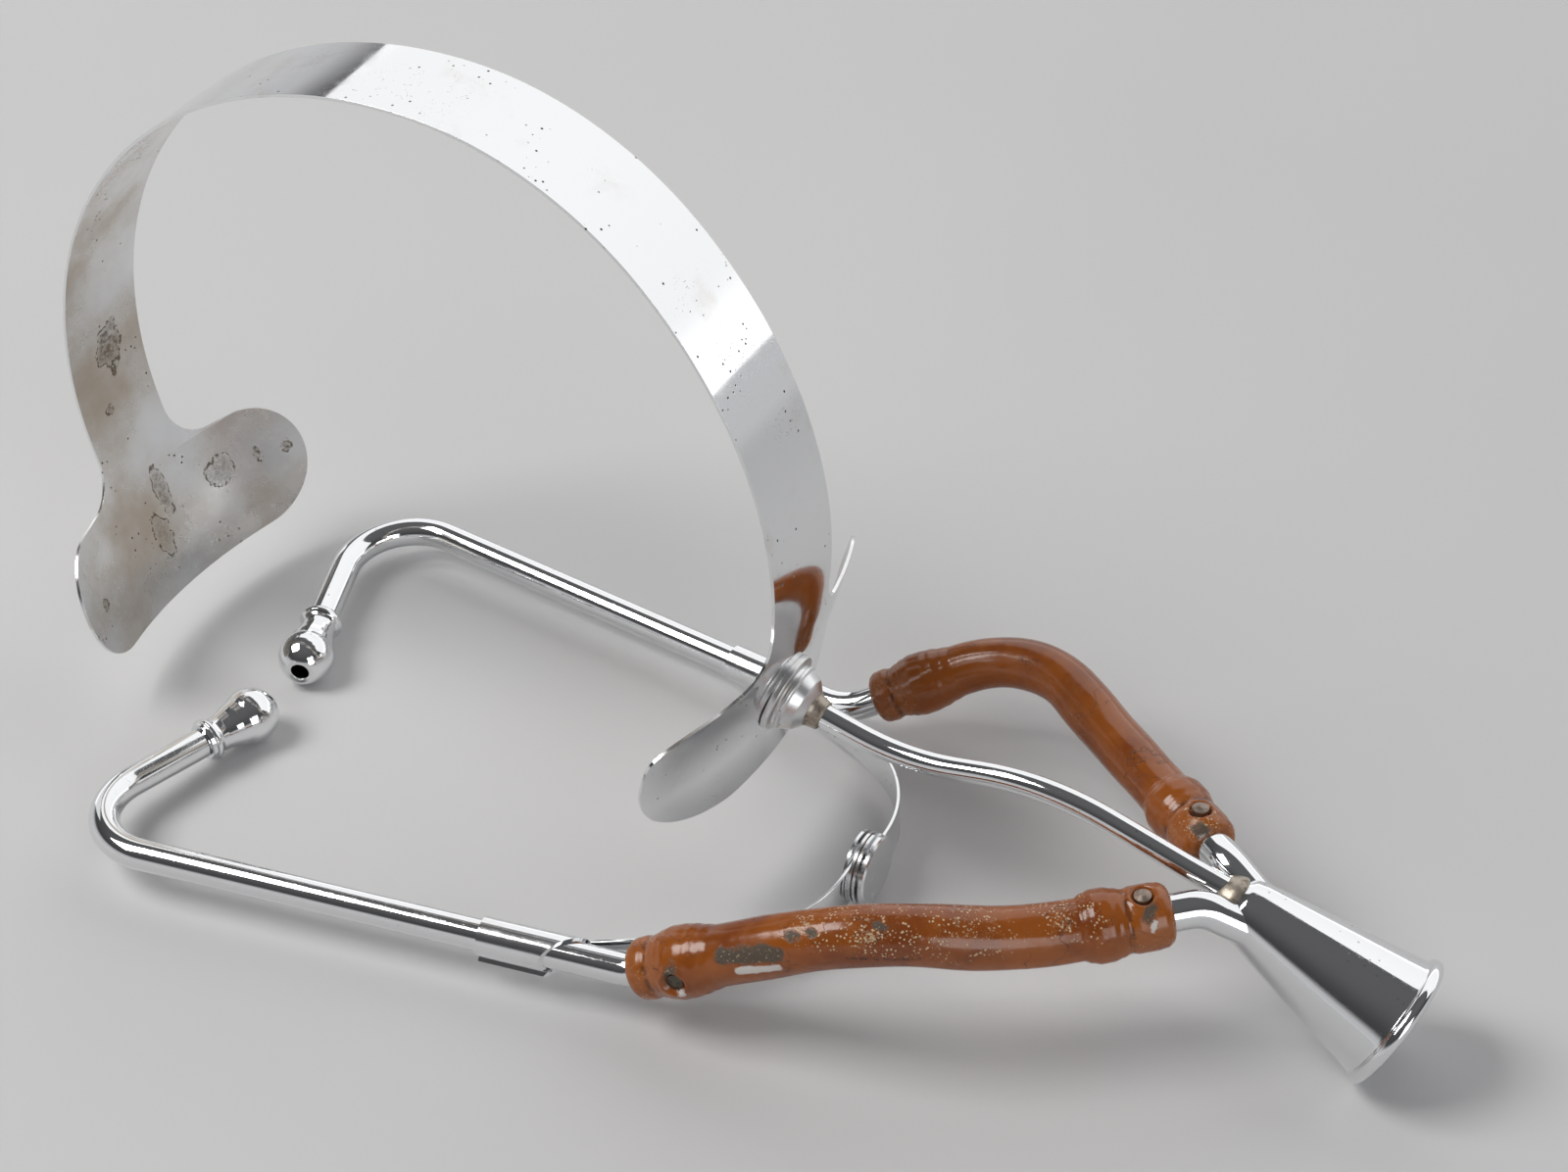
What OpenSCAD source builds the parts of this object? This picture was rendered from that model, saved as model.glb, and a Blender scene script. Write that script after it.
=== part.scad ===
// Head-worn obstetric stethoscope: a spring head band carries a bell on a curved stem,
// and two sprung ear tubes join the bell through rubber hoses.
// Millimetres. +X runs towards the bell, +Z is up, the head band's mid plane is y = 0,
// and the ear tips and the bell's rim rest on z = 0.

/* [Preview] */
// Which node to draw, or all of them

/* [Head band] */
// Width of the band
band_width = 24; // [22:0.5:26]
// Thickness of the sheet
sheet = 0.7; // [0.5:0.1:0.9]
// Forward place of the band's foot, at the middle of the boss
foot_x = 9.5; // [8.5:0.5:10.5]
// Height of the band's foot
foot_z = 45; // [44:0.5:46]
// Direction in which the band leaves its foot, up from level
foot_angle = 73.2; // [71:0.2:75]
// Length of the nearly straight run above the foot
foot_run = 5.3; // [4.5:0.1:6]
// Radius over the brow
brow_radius = 99.2; // [97:0.2:102]
// Turn over the brow
brow_turn = 60.3; // [59:0.1:61]
// Radius over the crown
crown_radius = 78; // [76:0.5:80]
// Turn over the crown
crown_turn = 42; // [41:1:43]
// Radius behind the crown
back_radius = 102.5; // [100:0.5:105]
// Turn behind the crown
back_turn = 60; // [59:1:61]
// Radius down to the nape
nape_radius = 94.3; // [92:0.1:96]
// Turn down to the nape
nape_turn = 49.7; // [48:0.1:51]

/* [Head plates] */
// Half length of the forehead plate, from the middle of the band to a lobe's tip
brow_reach = 45; // [44:0.5:46]
// Height of the forehead plate
brow_lobe = 36.5; // [35.5:0.5:37.5]
// Height of the forehead lobes' top edge above the foot
brow_top = 12.5; // [11.5:0.5:13]
// Radius at which the plate's lower edge flares away from the brow
brow_flare = 50; // [45:5:60]
// Radius to which the forehead plate is curved back
brow_curve = 110; // [100:5:120]
// Half length of the plate behind the head
nape_reach = 42.5; // [40:0.5:45]
// Height of a lobe behind the head
nape_lobe = 31; // [29:1:33]
// Distance of those lobes' top edge below the end of the arch
nape_top = 6; // [5:0.5:7]
// Radius to which the plate behind the head is curved forward
nape_curve = 85; // [80:5:100]
// Radius of the corners between the band and the lobes
corner_radius = 10; // [9:0.5:11]

/* [Boss] */
// Diameter of the boss's outer flange
flange_diameter = 18.5; // [17.5:0.5:19.5]
// Thickness of the outer flange
flange_thickness = 1.3; // [1.1:0.1:1.6]
// Diameter of the cone's foot
cone_diameter = 14.6; // [13.6:0.2:15.4]
// Length of the cone
cone_length = 4.6; // [4:0.2:5.2]
// Diameter of the soldered collar at the cone's nose
collar_diameter = 7.6; // [7:0.2:8]
// Length of the soldered collar
collar_length = 2.4; // [2:0.2:3]
// Diameter of the washer behind the plate
washer_diameter = 13; // [12:0.5:14]
// Thickness of that washer
washer_thickness = 0.8; // [0.6:0.1:1]
// Diameter of the rivet that holds the boss to the plate
boss_rivet = 4; // [3.4:0.2:4.6]

/* [Stem] */
// Diameter of the stem
stem_diameter = 5.2; // [4.8:0.2:5.6]

/* [Bell] */
// Radius of the bell's rim at the middle of its bead
rim_radius = 13.7; // [13.2:0.1:14.2]
// Radius of the rim's round bead
bead_radius = 1.6; // [1.4:0.1:1.8]
// Forward place of the middle of the rim
rim_x = 151; // [150:0.5:152]
// Dip of the bell's axis below level
bell_dip = 25; // [24:0.5:26]
// Length of the cone from the bead to the neck
bell_length = 36; // [35:0.5:37]
// Outer radius of the neck
neck_radius = 7.2; // [7:0.1:7.6]
// Wall of the bell
bell_wall = 1.3; // [1.1:0.1:1.5]

/* [Bell branches] */
// Outer diameter of a branch
branch_diameter = 8; // [7.8:0.1:8.2]
// Bore of a branch and of an ear tube
bore_diameter = 5; // [4.6:0.2:5.2]
// Angle by which a branch splays out from the stem's direction
branch_splay = 37; // [36:0.5:38]
// Angle by which a branch drops towards the hose
branch_drop = 6; // [4:1:8]

/* [Ear tubes] */
// Outer diameter of an ear tube
tube_diameter = 7; // [6.9:0.05:7.1]
// Radius of the main bend, at the tube's centre
ear_bend = 16; // [15:0.5:17]
// Radius of the bend at the far tube's front
front_bend = 15; // [14:0.5:16]
// Radius of the sharper bend at the near tube's front, hidden by its hose
near_front_bend = 6; // [5.5:0.25:6.5]
// Height of the straight parts above the table, on average
tube_height = 9.6; // [9.4:0.1:9.8]
// Amount by which the near tube lies above that height and the far one below it
tube_roll = 1.4; // [1:0.1:1.6]
// Sideways turn of the ear tubes and their spring as the photograph shows them
pair_turn = 3.3; // [3:0.1:3.6]

/* [Ear tips] */
// Diameter of the ear tip's ball
tip_diameter = 13.2; // [12.8:0.2:13.6]
// Diameter of the ear tip's flange
tip_flange = 10.4; // [10:0.2:10.8]
// Radial gap between the tube's spigot and the tip's socket
running_clearance = 0.05; // [0.03:0.01:0.08]

/* [Hoses] */
// Outer diameter of the near hose between its ends
hose_near_diameter = 12.9; // [12.5:0.1:13.3]
// Outer diameter of the far hose between its ends
hose_far_diameter = 11.8; // [11.6:0.1:12.4]
// Bore of a hose between its ends
hose_bore = 6.6; // [6.2:0.2:7]
// Gap between a metal tube and the hose over it
hose_clearance = 0.1; // [0.08:0.01:0.14]
// Diameter of the studs that lock the hoses
stud_diameter = 3.6; // [3.2:0.2:4]
// Distance from a hose's end to the middle of its stud, at the bell
stud_back_bell = 5.5; // [5:0.5:6]
// Distance from a hose's end to the middle of its stud, at the ear tube
stud_back_ear = 11.5; // [11:0.25:12]

/* [Leaf spring and hinge] */
// Thickness of the leaves
leaf_thickness = 0.8; // [0.7:0.05:0.9]
// Width of the leaves, which stand on edge
leaf_width = 10; // [9:0.5:11]
// Length of the split sleeves
sleeve_length = 19; // [18:0.5:20]
// Diameter of the hinge discs
disc_diameter = 16; // [15.5:0.1:16.4]
// Height of the hinge's rivet above the table
hinge_height = 9; // [8.6:0.1:9.4]
// Sideways place of the rivet from the middle between the ear tubes
hinge_offset = 2.4; // [2:0.1:2.8]
// Thickness of a hinge disc
disc_thickness = 0.65; // [0.6:0.05:0.75]
// Thickness of the friction washer
friction_washer = 0.4; // [0.3:0.05:0.5]
// Diameter of the hinge's rivet
rivet_diameter = 3; // [2.6:0.2:3.4]

/* [Hidden] */
$fn = 64;
chrome = [0.80, 0.81, 0.82];
dull = [0.62, 0.60, 0.55];
rubber = [0.60, 0.26, 0.10];

// Direction of a vector, of length one.
function unit(v) = v / norm(v);
// Rotation that lays +Z along v.
function aim(v) = [0, acos(v[2] / norm(v)), atan2(v[1], v[0])];
// Rotation that lays +X along a and +Y along b.
function turn_to(a, b) =
    let (c = cross(a, b))
    [atan2(b[2], c[2]), asin(-a[2]), atan2(a[1], a[0])];
// Point at a place along a line.
function along(p, v, d) = p + d * unit(v);

// A round bar or tube from p to q.
module pipe(p, q, outer, inner = 0) {
    translate(p)
        rotate(aim(q - p))
            difference() {
                cylinder(h = norm(q - p), d = outer);
                if (inner > 0)
                    translate([0, 0, -1])
                        cylinder(h = norm(q - p) + 2, d = inner);
            }
}

// The bend of a tube around the corner b of the path a, b, c.
module elbow(a, b, c, radius, outer, inner = 0) {
    u = unit(a - b);
    w = unit(c - b);
    turn = 180 - acos(u * w);
    start = b + u * radius * tan(turn / 2);
    centre = b + unit(u + w) * radius / cos(turn / 2);
    side = unit(start - centre);
    translate(centre)
        rotate(turn_to(side, -u))
            rotate_extrude(angle = turn)
                translate([radius, 0])
                    difference() {
                        circle(d = outer);
                        if (inner > 0)
                            circle(d = inner);
                    }
}

// Length that a bend takes off each side of its corner.
function set_back(a, b, c, radius) =
    radius * tan((180 - acos(unit(a - b) * unit(c - b))) / 2);

// Where a straight part meets a bend, it ends in a low ring, a hair thicker than the wall,
// that reaches over the bend's first bit and joins the two.
seam = 0.3;
seam_skin = 0.02;
function ring_start(ro, ri) = ri > 0
    ? [[ri, seam], [ri - seam_skin, seam], [ri - seam_skin, -seam], [ro + seam_skin, -seam],
       [ro + seam_skin, seam], [ro, seam]]
    : [[0, -seam], [ro + seam_skin, -seam], [ro + seam_skin, seam], [ro, seam]];
function ring_end(ro, ri, d) = ri > 0
    ? [[ro, d - seam], [ro + seam_skin, d - seam], [ro + seam_skin, d + seam],
       [ri - seam_skin, d + seam], [ri - seam_skin, d - seam], [ri, d - seam]]
    : [[ro, d - seam], [ro + seam_skin, d - seam], [ro + seam_skin, d + seam], [0, d + seam]];

// A straight part from p to q, with rings where it meets bends, and with bumps on its
// outside, each [growth of the radius, distance from p].
module run(p, q, outer, inner, ring_a, ring_b, bumps = []) {
    ro = outer / 2;
    ri = inner / 2;
    d = norm(q - p);
    translate(p)
        rotate(aim(q - p))
            rotate_extrude()
                polygon(concat(ring_a ? ring_start(ro, ri) : [[ri, 0], [ro, 0]],
                    [for (k = bumps) [ro + k[0], k[1]]],
                    ring_b ? ring_end(ro, ri, d) : [[ro, d], [ri, d]]));
}

// A tube along the points, bent at each inner one to its radius. The bumps are on its
// first straight part. Without ends, only what lies between the outer bends is drawn.
module bent_pipe(points, radii, outer, inner = 0, bumps = [], ends = true) {
    last = len(points) - 1;
    backs = [for (i = [0:last]) i == 0 || i == last ? 0 :
        set_back(points[i - 1], points[i], points[i + 1], radii[i])];
    for (i = [0:last - 1])
        if (ends || (i > 0 && i < last - 1))
            run(along(points[i], points[i + 1] - points[i], backs[i]),
                along(points[i + 1], points[i] - points[i + 1], backs[i + 1]),
                outer, inner, i > 0, i < last - 1, i == 0 ? bumps : []);
    for (i = [1:last - 1])
        elbow(points[i - 1], points[i], points[i + 1], radii[i], outer, inner);
}

// Head band: the mid line is a chain of arcs in the plane y = 0, each [radius, turn].
// It runs straight on past both ends. A station is [x, z, heading].
foot = [foot_x, foot_z, foot_angle];
run_radius = 250;
arcs = [[run_radius, foot_run / run_radius * 180 / PI], [brow_radius, brow_turn],
    [crown_radius, crown_turn], [back_radius, back_turn], [nape_radius, nape_turn]];
function arc_length(arc) = arc[0] * arc[1] * PI / 180;
function sum(list, n) = n == 0 ? 0 : sum(list, n - 1) + list[n - 1];
arch_length = sum([for (arc = arcs) arc_length(arc)], len(arcs));
function step_straight(s, d) = [s[0] + d * cos(s[2]), s[1] + d * sin(s[2]), s[2]];
function step_arc(s, radius, d) =
    let (h = s[2] + d / radius * 180 / PI)
    [s[0] + radius * (sin(h) - sin(s[2])), s[1] - radius * (cos(h) - cos(s[2])), h];
// Distance below the foot at which the plate's lower edge starts to flare.
flare_start = -9.5;
// Station at a distance d along the band from its foot.
function station(d, s = foot, k = 0) =
    d < flare_start ? step_arc(step_straight(s, flare_start), -brow_flare, d - flare_start)
        : k == len(arcs) || d < 0 ? step_straight(s, d)
        : d <= arc_length(arcs[k]) ? step_arc(s, arcs[k][0], d)
        : station(d - arc_length(arcs[k]), step_arc(s, arcs[k][0], arc_length(arcs[k])), k + 1);

// Half width of the forehead plate at a distance d above the foot: round above and below
// its widest place.
brow_widest = 1.5;
function brow_half(d) =
    let (k = d > brow_widest ? (d - brow_widest) / (brow_top - brow_widest)
             : (brow_widest - d) / (brow_lobe - brow_top + brow_widest),
         n = d > brow_widest ? 3.5 : 2.5)
    brow_reach * pow(1 - pow(k, n), 1 / n);
// Places of the rows, from just inside its lower edge to just inside its top edge.
brow_rows = [for (i = [0:16]) let (f = 0.5 - cos(180 * i / 16) / 2)
    brow_top - 0.985 * brow_lobe + f * 0.972 * brow_lobe];
// Half width of the plate behind the head at a distance d beyond its lobes' top edge.
function plate_half(d, h, reach) =
    reach - h / 2 + sqrt(max(0, pow(h / 2, 2) - pow(d - h / 2, 2)));
// Half width in the corner above that edge, at a share t of the corner's quarter turn.
function corner_half(t) = band_width / 2 + corner_radius * (1 - cos(90 * t));
function corner_rise(t) = corner_radius * (1 - sin(90 * t)) + 0.4;

lobe_steps = [for (i = [0:14]) (1 - cos(180 * i / 14)) / 2];
corner_steps = [for (i = [0:8]) i / 8];
band_start = brow_top + corner_radius + 4;
band_end = arch_length + nape_top - corner_radius - 4;
band_count = 56;
// Distance over which the plates' sideways curve fades into the flat band.
fade = 34;

// All the rows, each [distance, half width].
widths = concat(
    [for (d = brow_rows) [d, brow_half(d)]],
    [for (i = [len(corner_steps) - 1:-1:0])
        [brow_top + corner_rise(corner_steps[i]), corner_half(corner_steps[i])]],
    [for (i = [0:band_count])
        [band_start + (band_end - band_start) * i / band_count, band_width / 2]],
    [for (t = corner_steps)
        [arch_length + nape_top - corner_rise(t), corner_half(t)]],
    [for (f = lobe_steps)
        [arch_length + nape_top + nape_lobe * f, plate_half(nape_lobe * f, nape_lobe,
            nape_reach)]]);
function plate_curve(d) =
    pow(max(0, 1 - max(0, d - brow_top) / fade), 2) / brow_curve
    + pow(max(0, 1 - max(0, arch_length + nape_top - d) / fade), 2) / nape_curve;
rows = [for (w = widths) concat(station(w[0]), [w[1], plate_curve(w[0])])];

// Point of the sheet: across is the place over the width, side is +1 outside and -1 inside.
function sheet_point(r, across, side) =
    let (v = across * r[3],
         fall = r[4] > 0 ? (1 - cos(v * r[4] * 180 / PI)) / r[4] : 0,
         y = r[4] > 0 ? sin(v * r[4] * 180 / PI) / r[4] : v,
         out = [sin(r[2]), 0, -cos(r[2])],
         lean = v * r[4] * 180 / PI,
         face = cos(lean) * out + sin(lean) * [0, 1, 0])
    [r[0], y, r[1]] - fall * out + side * sheet / 2 * face;

columns = 20;
module sheet_solid(list) {
    n = len(list);
    m = columns + 1;
    outside = [for (r = list) for (j = [0:columns]) sheet_point(r, 2 * j / columns - 1, 1)];
    inside = [for (r = list) for (j = [0:columns]) sheet_point(r, 2 * j / columns - 1, -1)];
    k = n * m;
    faces = concat(
        [for (i = [0:n - 2]) for (j = [0:columns - 1]) each [
            [i * m + j, (i + 1) * m + j, (i + 1) * m + j + 1],
            [i * m + j, (i + 1) * m + j + 1, i * m + j + 1]]],
        [for (i = [0:n - 2]) for (j = [0:columns - 1]) each [
            [k + i * m + j, k + (i + 1) * m + j + 1, k + (i + 1) * m + j],
            [k + i * m + j, k + i * m + j + 1, k + (i + 1) * m + j + 1]]],
        [for (i = [0:n - 2]) each [
            [i * m, k + i * m, k + (i + 1) * m], [i * m, k + (i + 1) * m, (i + 1) * m],
            [i * m + columns, (i + 1) * m + columns, k + (i + 1) * m + columns],
            [i * m + columns, k + (i + 1) * m + columns, k + i * m + columns]]],
        [for (j = [0:columns - 1]) each [
            [j, j + 1, k + j + 1], [j, k + j + 1, k + j],
            [(n - 1) * m + j, k + (n - 1) * m + j + 1, (n - 1) * m + j + 1],
            [(n - 1) * m + j, k + (n - 1) * m + j, k + (n - 1) * m + j + 1]]]);
    polyhedron(points = concat(outside, inside), faces = faces, convexity = 8);
}

// Boss: its axis leaves the forehead plate square to it.
boss_dir = [sin(foot_angle), 0, -cos(foot_angle)];
boss_foot = [foot_x, 0, foot_z] - 1.6 * [cos(foot_angle), 0, sin(foot_angle)];

module on_boss(d) {
    translate(boss_foot + d * boss_dir)
        rotate(aim(boss_dir))
            children();
}

module head_band() {
    color(chrome)
        difference() {
            sheet_solid(rows);
            on_boss(-4)
                cylinder(h = 8, d = boss_rivet + 0.1);
        }
}

// The flange's back is hollowed to clear the plate's curve.
boss_gap = sheet / 2 + 0.15;
module forehead_boss() {
    groove = 0.9;
    top = flange_thickness + groove + 1.1;
    color(chrome)
        difference() {
            on_boss(boss_gap)
                rotate_extrude()
                    polygon([[0, 0], [flange_diameter / 2, 0],
                        [flange_diameter / 2, flange_thickness],
                        [cone_diameter / 2 - 0.8, flange_thickness],
                        [cone_diameter / 2 - 0.8, flange_thickness + groove],
                        [cone_diameter / 2 + 0.5, flange_thickness + groove],
                        [cone_diameter / 2 + 0.5, top - 0.4],
                        [cone_diameter / 2, top],
                        [collar_diameter / 2 + 0.7, top + cone_length * 0.7],
                        [collar_diameter / 2, top + cone_length],
                        [collar_diameter / 2 - 0.3, top + cone_length + collar_length],
                        [0, top + cone_length + collar_length]]);
            on_boss(-1)
                cylinder(h = 1 + boss_gap + 4, d = boss_rivet + 0.1);
            bent_pipe(stem_points, stem_bends, stem_diameter + 0.1);
        }
}

module boss_rivet_pin() {
    color(dull)
        on_boss(-sheet / 2 - washer_thickness - 1.5)
            rotate_extrude()
                polygon([[0, 0], [2.2, 0], [3.6, 0.5], [3.9, 1.2], [boss_rivet / 2, 1.2],
                    [boss_rivet / 2, washer_thickness + sheet + 5.4],
                    [0, washer_thickness + sheet + 5.4]]);
}

module boss_washer() {
    color(dull)
        on_boss(-sheet / 2 - washer_thickness - 0.25)
            difference() {
                cylinder(h = washer_thickness, d = washer_diameter);
                translate([0, 0, -1])
                    cylinder(h = washer_thickness + 2, d = boss_rivet + 0.1);
            }
}

// Bell: its own axis, with the rim's lowest point on the table.
bell_dir = [cos(bell_dip), 0, -sin(bell_dip)];
rim_centre = [rim_x, 0, rim_radius * cos(bell_dip) + bead_radius];
module on_bell() {
    translate(rim_centre)
        rotate(aim(-bell_dir))
            children();
}
function bell_point(k) = rim_centre - k * bell_dir;
neck_end = bell_length + 5;

// Branches: symmetric about the mid plane, side is -1 near and +1 far.
branch_dir = unit([-cos(branch_splay) * cos(branch_drop), sin(branch_splay) * cos(branch_drop),
    -sin(branch_drop)]);
branch_mouth = [105.4, 10.8, 32.3];
branch_nipple = 15;
function flip(p, side) = [p[0], side * p[1], p[2]];
branch_points = [branch_mouth + branch_nipple * branch_dir,
    branch_mouth - 6.5 * branch_dir, bell_point(bell_length - 3) + [0, 3.2, 0]];

// A nipple's barb: a smooth ring that swells the hose, at a distance from the end.
function barb(d) = [[0, d - 2.6], [swell * 0.6, d - 1.4], [swell, d], [swell * 0.6, d + 1.4],
    [0, d + 2.6]];
swell = 1;
// Distances of the barbs from the hoses' ends.
barb_bell = 11.8;
barb_ear = 5.5;

branch_bends = [0, 8, 0];
module branch(side) {
    color(chrome)
        mirror([0, side > 0 ? 1 : 0, 0])
            difference() {
                bent_pipe([for (p = branch_points) flip(p, -1)], branch_bends,
                          branch_diameter, bore_diameter, barb(branch_nipple - barb_bell));
                stud_hole(stud_bell(-1), stud_bell_dir(-1));
                // A branch stops at the mid plane, against the other one.
                translate([100, -0.05, 0])
                    cube([40, 20, 60]);
            }
}

module bell() {
    color(chrome)
        difference() {
            on_bell()
                rotate_extrude()
                    polygon(concat(
                        [for (a = [-90:15:75]) [rim_radius + bead_radius * cos(a),
                            bead_radius * sin(a)]],
                        [[rim_radius + 0.2, bead_radius], [neck_radius, bell_length],
                         [neck_radius - 0.9, bell_length + 2.6],
                         [neck_radius - 2.6, neck_end - 0.6], [0, neck_end],
                         [0, bell_length - 1],
                         [2.4, bell_length - 1],
                          [neck_radius - bell_wall, bell_length - 4],
                         [rim_radius - bell_wall, 0.4],
                         [rim_radius - bell_wall + 0.1, -bead_radius]]));
            for (side = [-1, 1])
                bent_pipe([for (p = branch_points) flip(p, side)], branch_bends,
                          branch_diameter + 0.1);
            bent_pipe(stem_points, stem_bends, stem_diameter + 0.1);
        }
}

// Stem: a rod in the mid plane from the boss's collar to the top of the bell's neck.
stem_foot = boss_foot + 7 * boss_dir;
stem_points = [stem_foot, [39.3, 0, 36.2], [72, 0, 44.1], [103.7, 0, 35.5],
    bell_point(bell_length - 2) + [0, 0, 3]];
stem_bends = [0, 50, 59, 40, 0];
module stem() {
    color(chrome)
        difference() {
            bent_pipe(stem_points, stem_bends, stem_diameter);
            for (side = [-1, 1])
                bent_pipe([for (p = branch_points) flip(p, side)], branch_bends,
                          branch_diameter + 0.1);
            // The stem stops short of the bell's own room.
            on_bell()
                cylinder(h = bell_length + 0.5, r1 = rim_radius, r2 = neck_radius - bell_wall);
        }
}

// The two ear tubes and their spring stand in a frame of their own, below the forehead.
pair_x = 36;
pair_y = -10.4;
module in_pair() {
    translate([pair_x, pair_y, 0])
        rotate([0, 0, pair_turn])
            children();
}
function from_pair(p) = [pair_x + p[0] * cos(pair_turn) - p[1] * sin(pair_turn),
    pair_y + p[0] * sin(pair_turn) + p[1] * cos(pair_turn), p[2]];
function pair_dir(v) = [v[0] * cos(pair_turn) - v[1] * sin(pair_turn),
    v[0] * sin(pair_turn) + v[1] * cos(pair_turn), v[2]];

// Path of an ear tube, from the hose end to the ear tip. The far tube stands forward of
// the near one by twice front_shift, and lies lower.
front_mid = -30.45;
front_shift = 1.95;
corner_s = -170.1;
corner_v = 67.2;
tube_slope = 0.1385;
spigot = 6;
tip_length = 14.3;
nipple = 15.5;
function hose_after_bend(side) = side < 0 ? 1.9 : 8;
function front_s(side) = front_mid + side * front_shift;
function tube_z(side) = tube_height - side * tube_roll;
function tube_line(s) = corner_v - (s - corner_s) * tube_slope;
function front(side) = [front_s(side), side * tube_line(front_s(side)), tube_z(side)];
function corner(side) = [corner_s, side * corner_v, tube_z(side)];
function tip_centre(side) = [-153.5, side * 11.6, tip_diameter / 2];
function tip_dir(side) = unit(tip_centre(side) - corner(side));
function spigot_start(side) = tip_centre(side) - tip_length * tip_dir(side);
// Directions in which the two hose ends point, as the photograph shows them.
function tube_rise(side) = unit(side < 0 ? [1, 0.2, 0.5] : [1, 0.5, 0.5]);
function ear_hose_start(side) = front(side) + hose_after_bend(side) * tube_rise(side);
function tube_path(side) = [ear_hose_start(side) + nipple * tube_rise(side), front(side),
    corner(side), spigot_start(side)];

spigot_diameter = 5.8;
tip_bore = 4.4;
module ear_tube(side) {
    pts = tube_path(side);
    tip = tip_dir(side);
    color(chrome)
        in_pair()
            difference() {
                union() {
                    bent_pipe(pts, [0, side < 0 ? near_front_bend : front_bend, ear_bend, 0],
                              tube_diameter, bore_diameter, barb(nipple - barb_ear));
                    pipe(pts[3] - 1.5 * tip, pts[3] + spigot * tip, spigot_diameter, tip_bore);
                }
                stud_hole(stud_ear(side), stud_ear_dir(side));
            }
}

// Ear tip: pear shaped, bored, with a socket that turns on the tube's spigot.
tip_gap = 0.3;
module ear_tip(side) {
    dir = tip_dir(side);
    r = tip_diameter / 2;
    ball = tip_length - tip_gap;
    color(chrome)
        in_pair()
            translate(spigot_start(side) + tip_gap * dir)
                rotate(aim(dir))
                    difference() {
                        union() {
                            rotate_extrude()
                                polygon([[0, 0], [4.3, 0], [4.6, 0.9], [tip_flange / 2, 1.1],
                                    [tip_flange / 2, 2.1], [4.5, 2.5], [4.1, 3.4],
                                    [4.25, 5], [4.75, 7.2], [r - 1.15, 9.4],
                                    [r - 0.75, ball - 2.8], [0, ball - 2.8]]);
                            translate([0, 0, ball])
                                sphere(r = r);
                        }
                        translate([0, 0, -1])
                            cylinder(h = spigot + 1.5,
                                     r = spigot_diameter / 2 + running_clearance);
                        cylinder(h = 30, d = tip_bore);
                        translate([0, 0, ball + r * 0.84])
                            cylinder(h = 4, r1 = tip_bore / 2, r2 = tip_bore / 2 + 2);
                    }
}

// Studs: each stands on its metal tube and shows through a hole in the hose's collar.
function stud_bell(side) = flip(branch_mouth + stud_back_bell * branch_dir, side);
function stud_ear(side) = ear_hose_start(side) + stud_back_ear * tube_rise(side);
// Directions in which the studs stand: up at the bell, outward at the ear tubes, and each
// square to its tube.
function square_to(v, axis) = unit(v - (v * axis) * axis);
function stud_bell_dir(side) = square_to([0, 0, 1], flip(branch_dir, side));
function stud_ear_dir(side) = square_to([0, side, 0], tube_rise(side));
module stud_shape(outer, dir) {
    rotate(aim(dir))
        translate([0, 0, outer / 2 - 1.2])
            rotate_extrude()
                polygon([[0, 0], [stud_diameter / 2 - 0.6, 0], [stud_diameter / 2 - 0.6, 2],
                    [stud_diameter / 2, 2.2], [stud_diameter / 2, stud_top(outer) - 0.4],
                    [0.6, stud_top(outer)], [0, stud_top(outer)]]);
}
// A stud ends a little below the rubber's surface.
function stud_top(outer) = hose_near_diameter / 2 - outer / 2 + 1.2 + 0.6;
module stud_hole(p, dir) {
    translate(p)
        rotate(aim(dir))
            cylinder(h = 5, r = stud_diameter / 2 - 0.55);
}
module stud_at_bell(side) {
    color(dull)
        translate(stud_bell(side))
            stud_shape(branch_diameter, stud_bell_dir(side));
}
module stud_at_ear(side) {
    color(dull)
        in_pair()
            translate(stud_ear(side))
                stud_shape(tube_diameter, stud_ear_dir(side));
}

// Hose: straight over each nipple, with two wide bends between. A hose_bend holds the
// distances of its two corners from the hose's ends, and the radii of its bends.
hose_bend = [[53.7, 32.2, 43.8, 81.5], [39.2, 46.4, 28, 60.2]];
function hose_ear(side) = from_pair(ear_hose_start(side));
function hose_ear_dir(side) = pair_dir(tube_rise(side));
function hose_bell(side) = flip(branch_mouth, side);
function hose_bell_dir(side) = flip(branch_dir, side);
// Outlines of the swollen ends: [growth of the outer radius, distance from the end].
ear_collar = [[-1.4, 0], [-0.4, 0.7], [0, 1.8], [0.1, 4], [0.3, 6.5], [0.9, 8.5], [1.3, 10.5],
    [1.25, 13], [0.95, 15.5], [0.4, 18], [0, 20.5]];
bell_collar = [[-1.4, 0], [-0.3, 0.7], [0.25, 1.8], [0.5, 4], [0.5, 7.5], [0.15, 9.2],
    [0.7, 11], [1.2, 13], [1.25, 15.5], [0.7, 17.5], [0, 19]];
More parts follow.
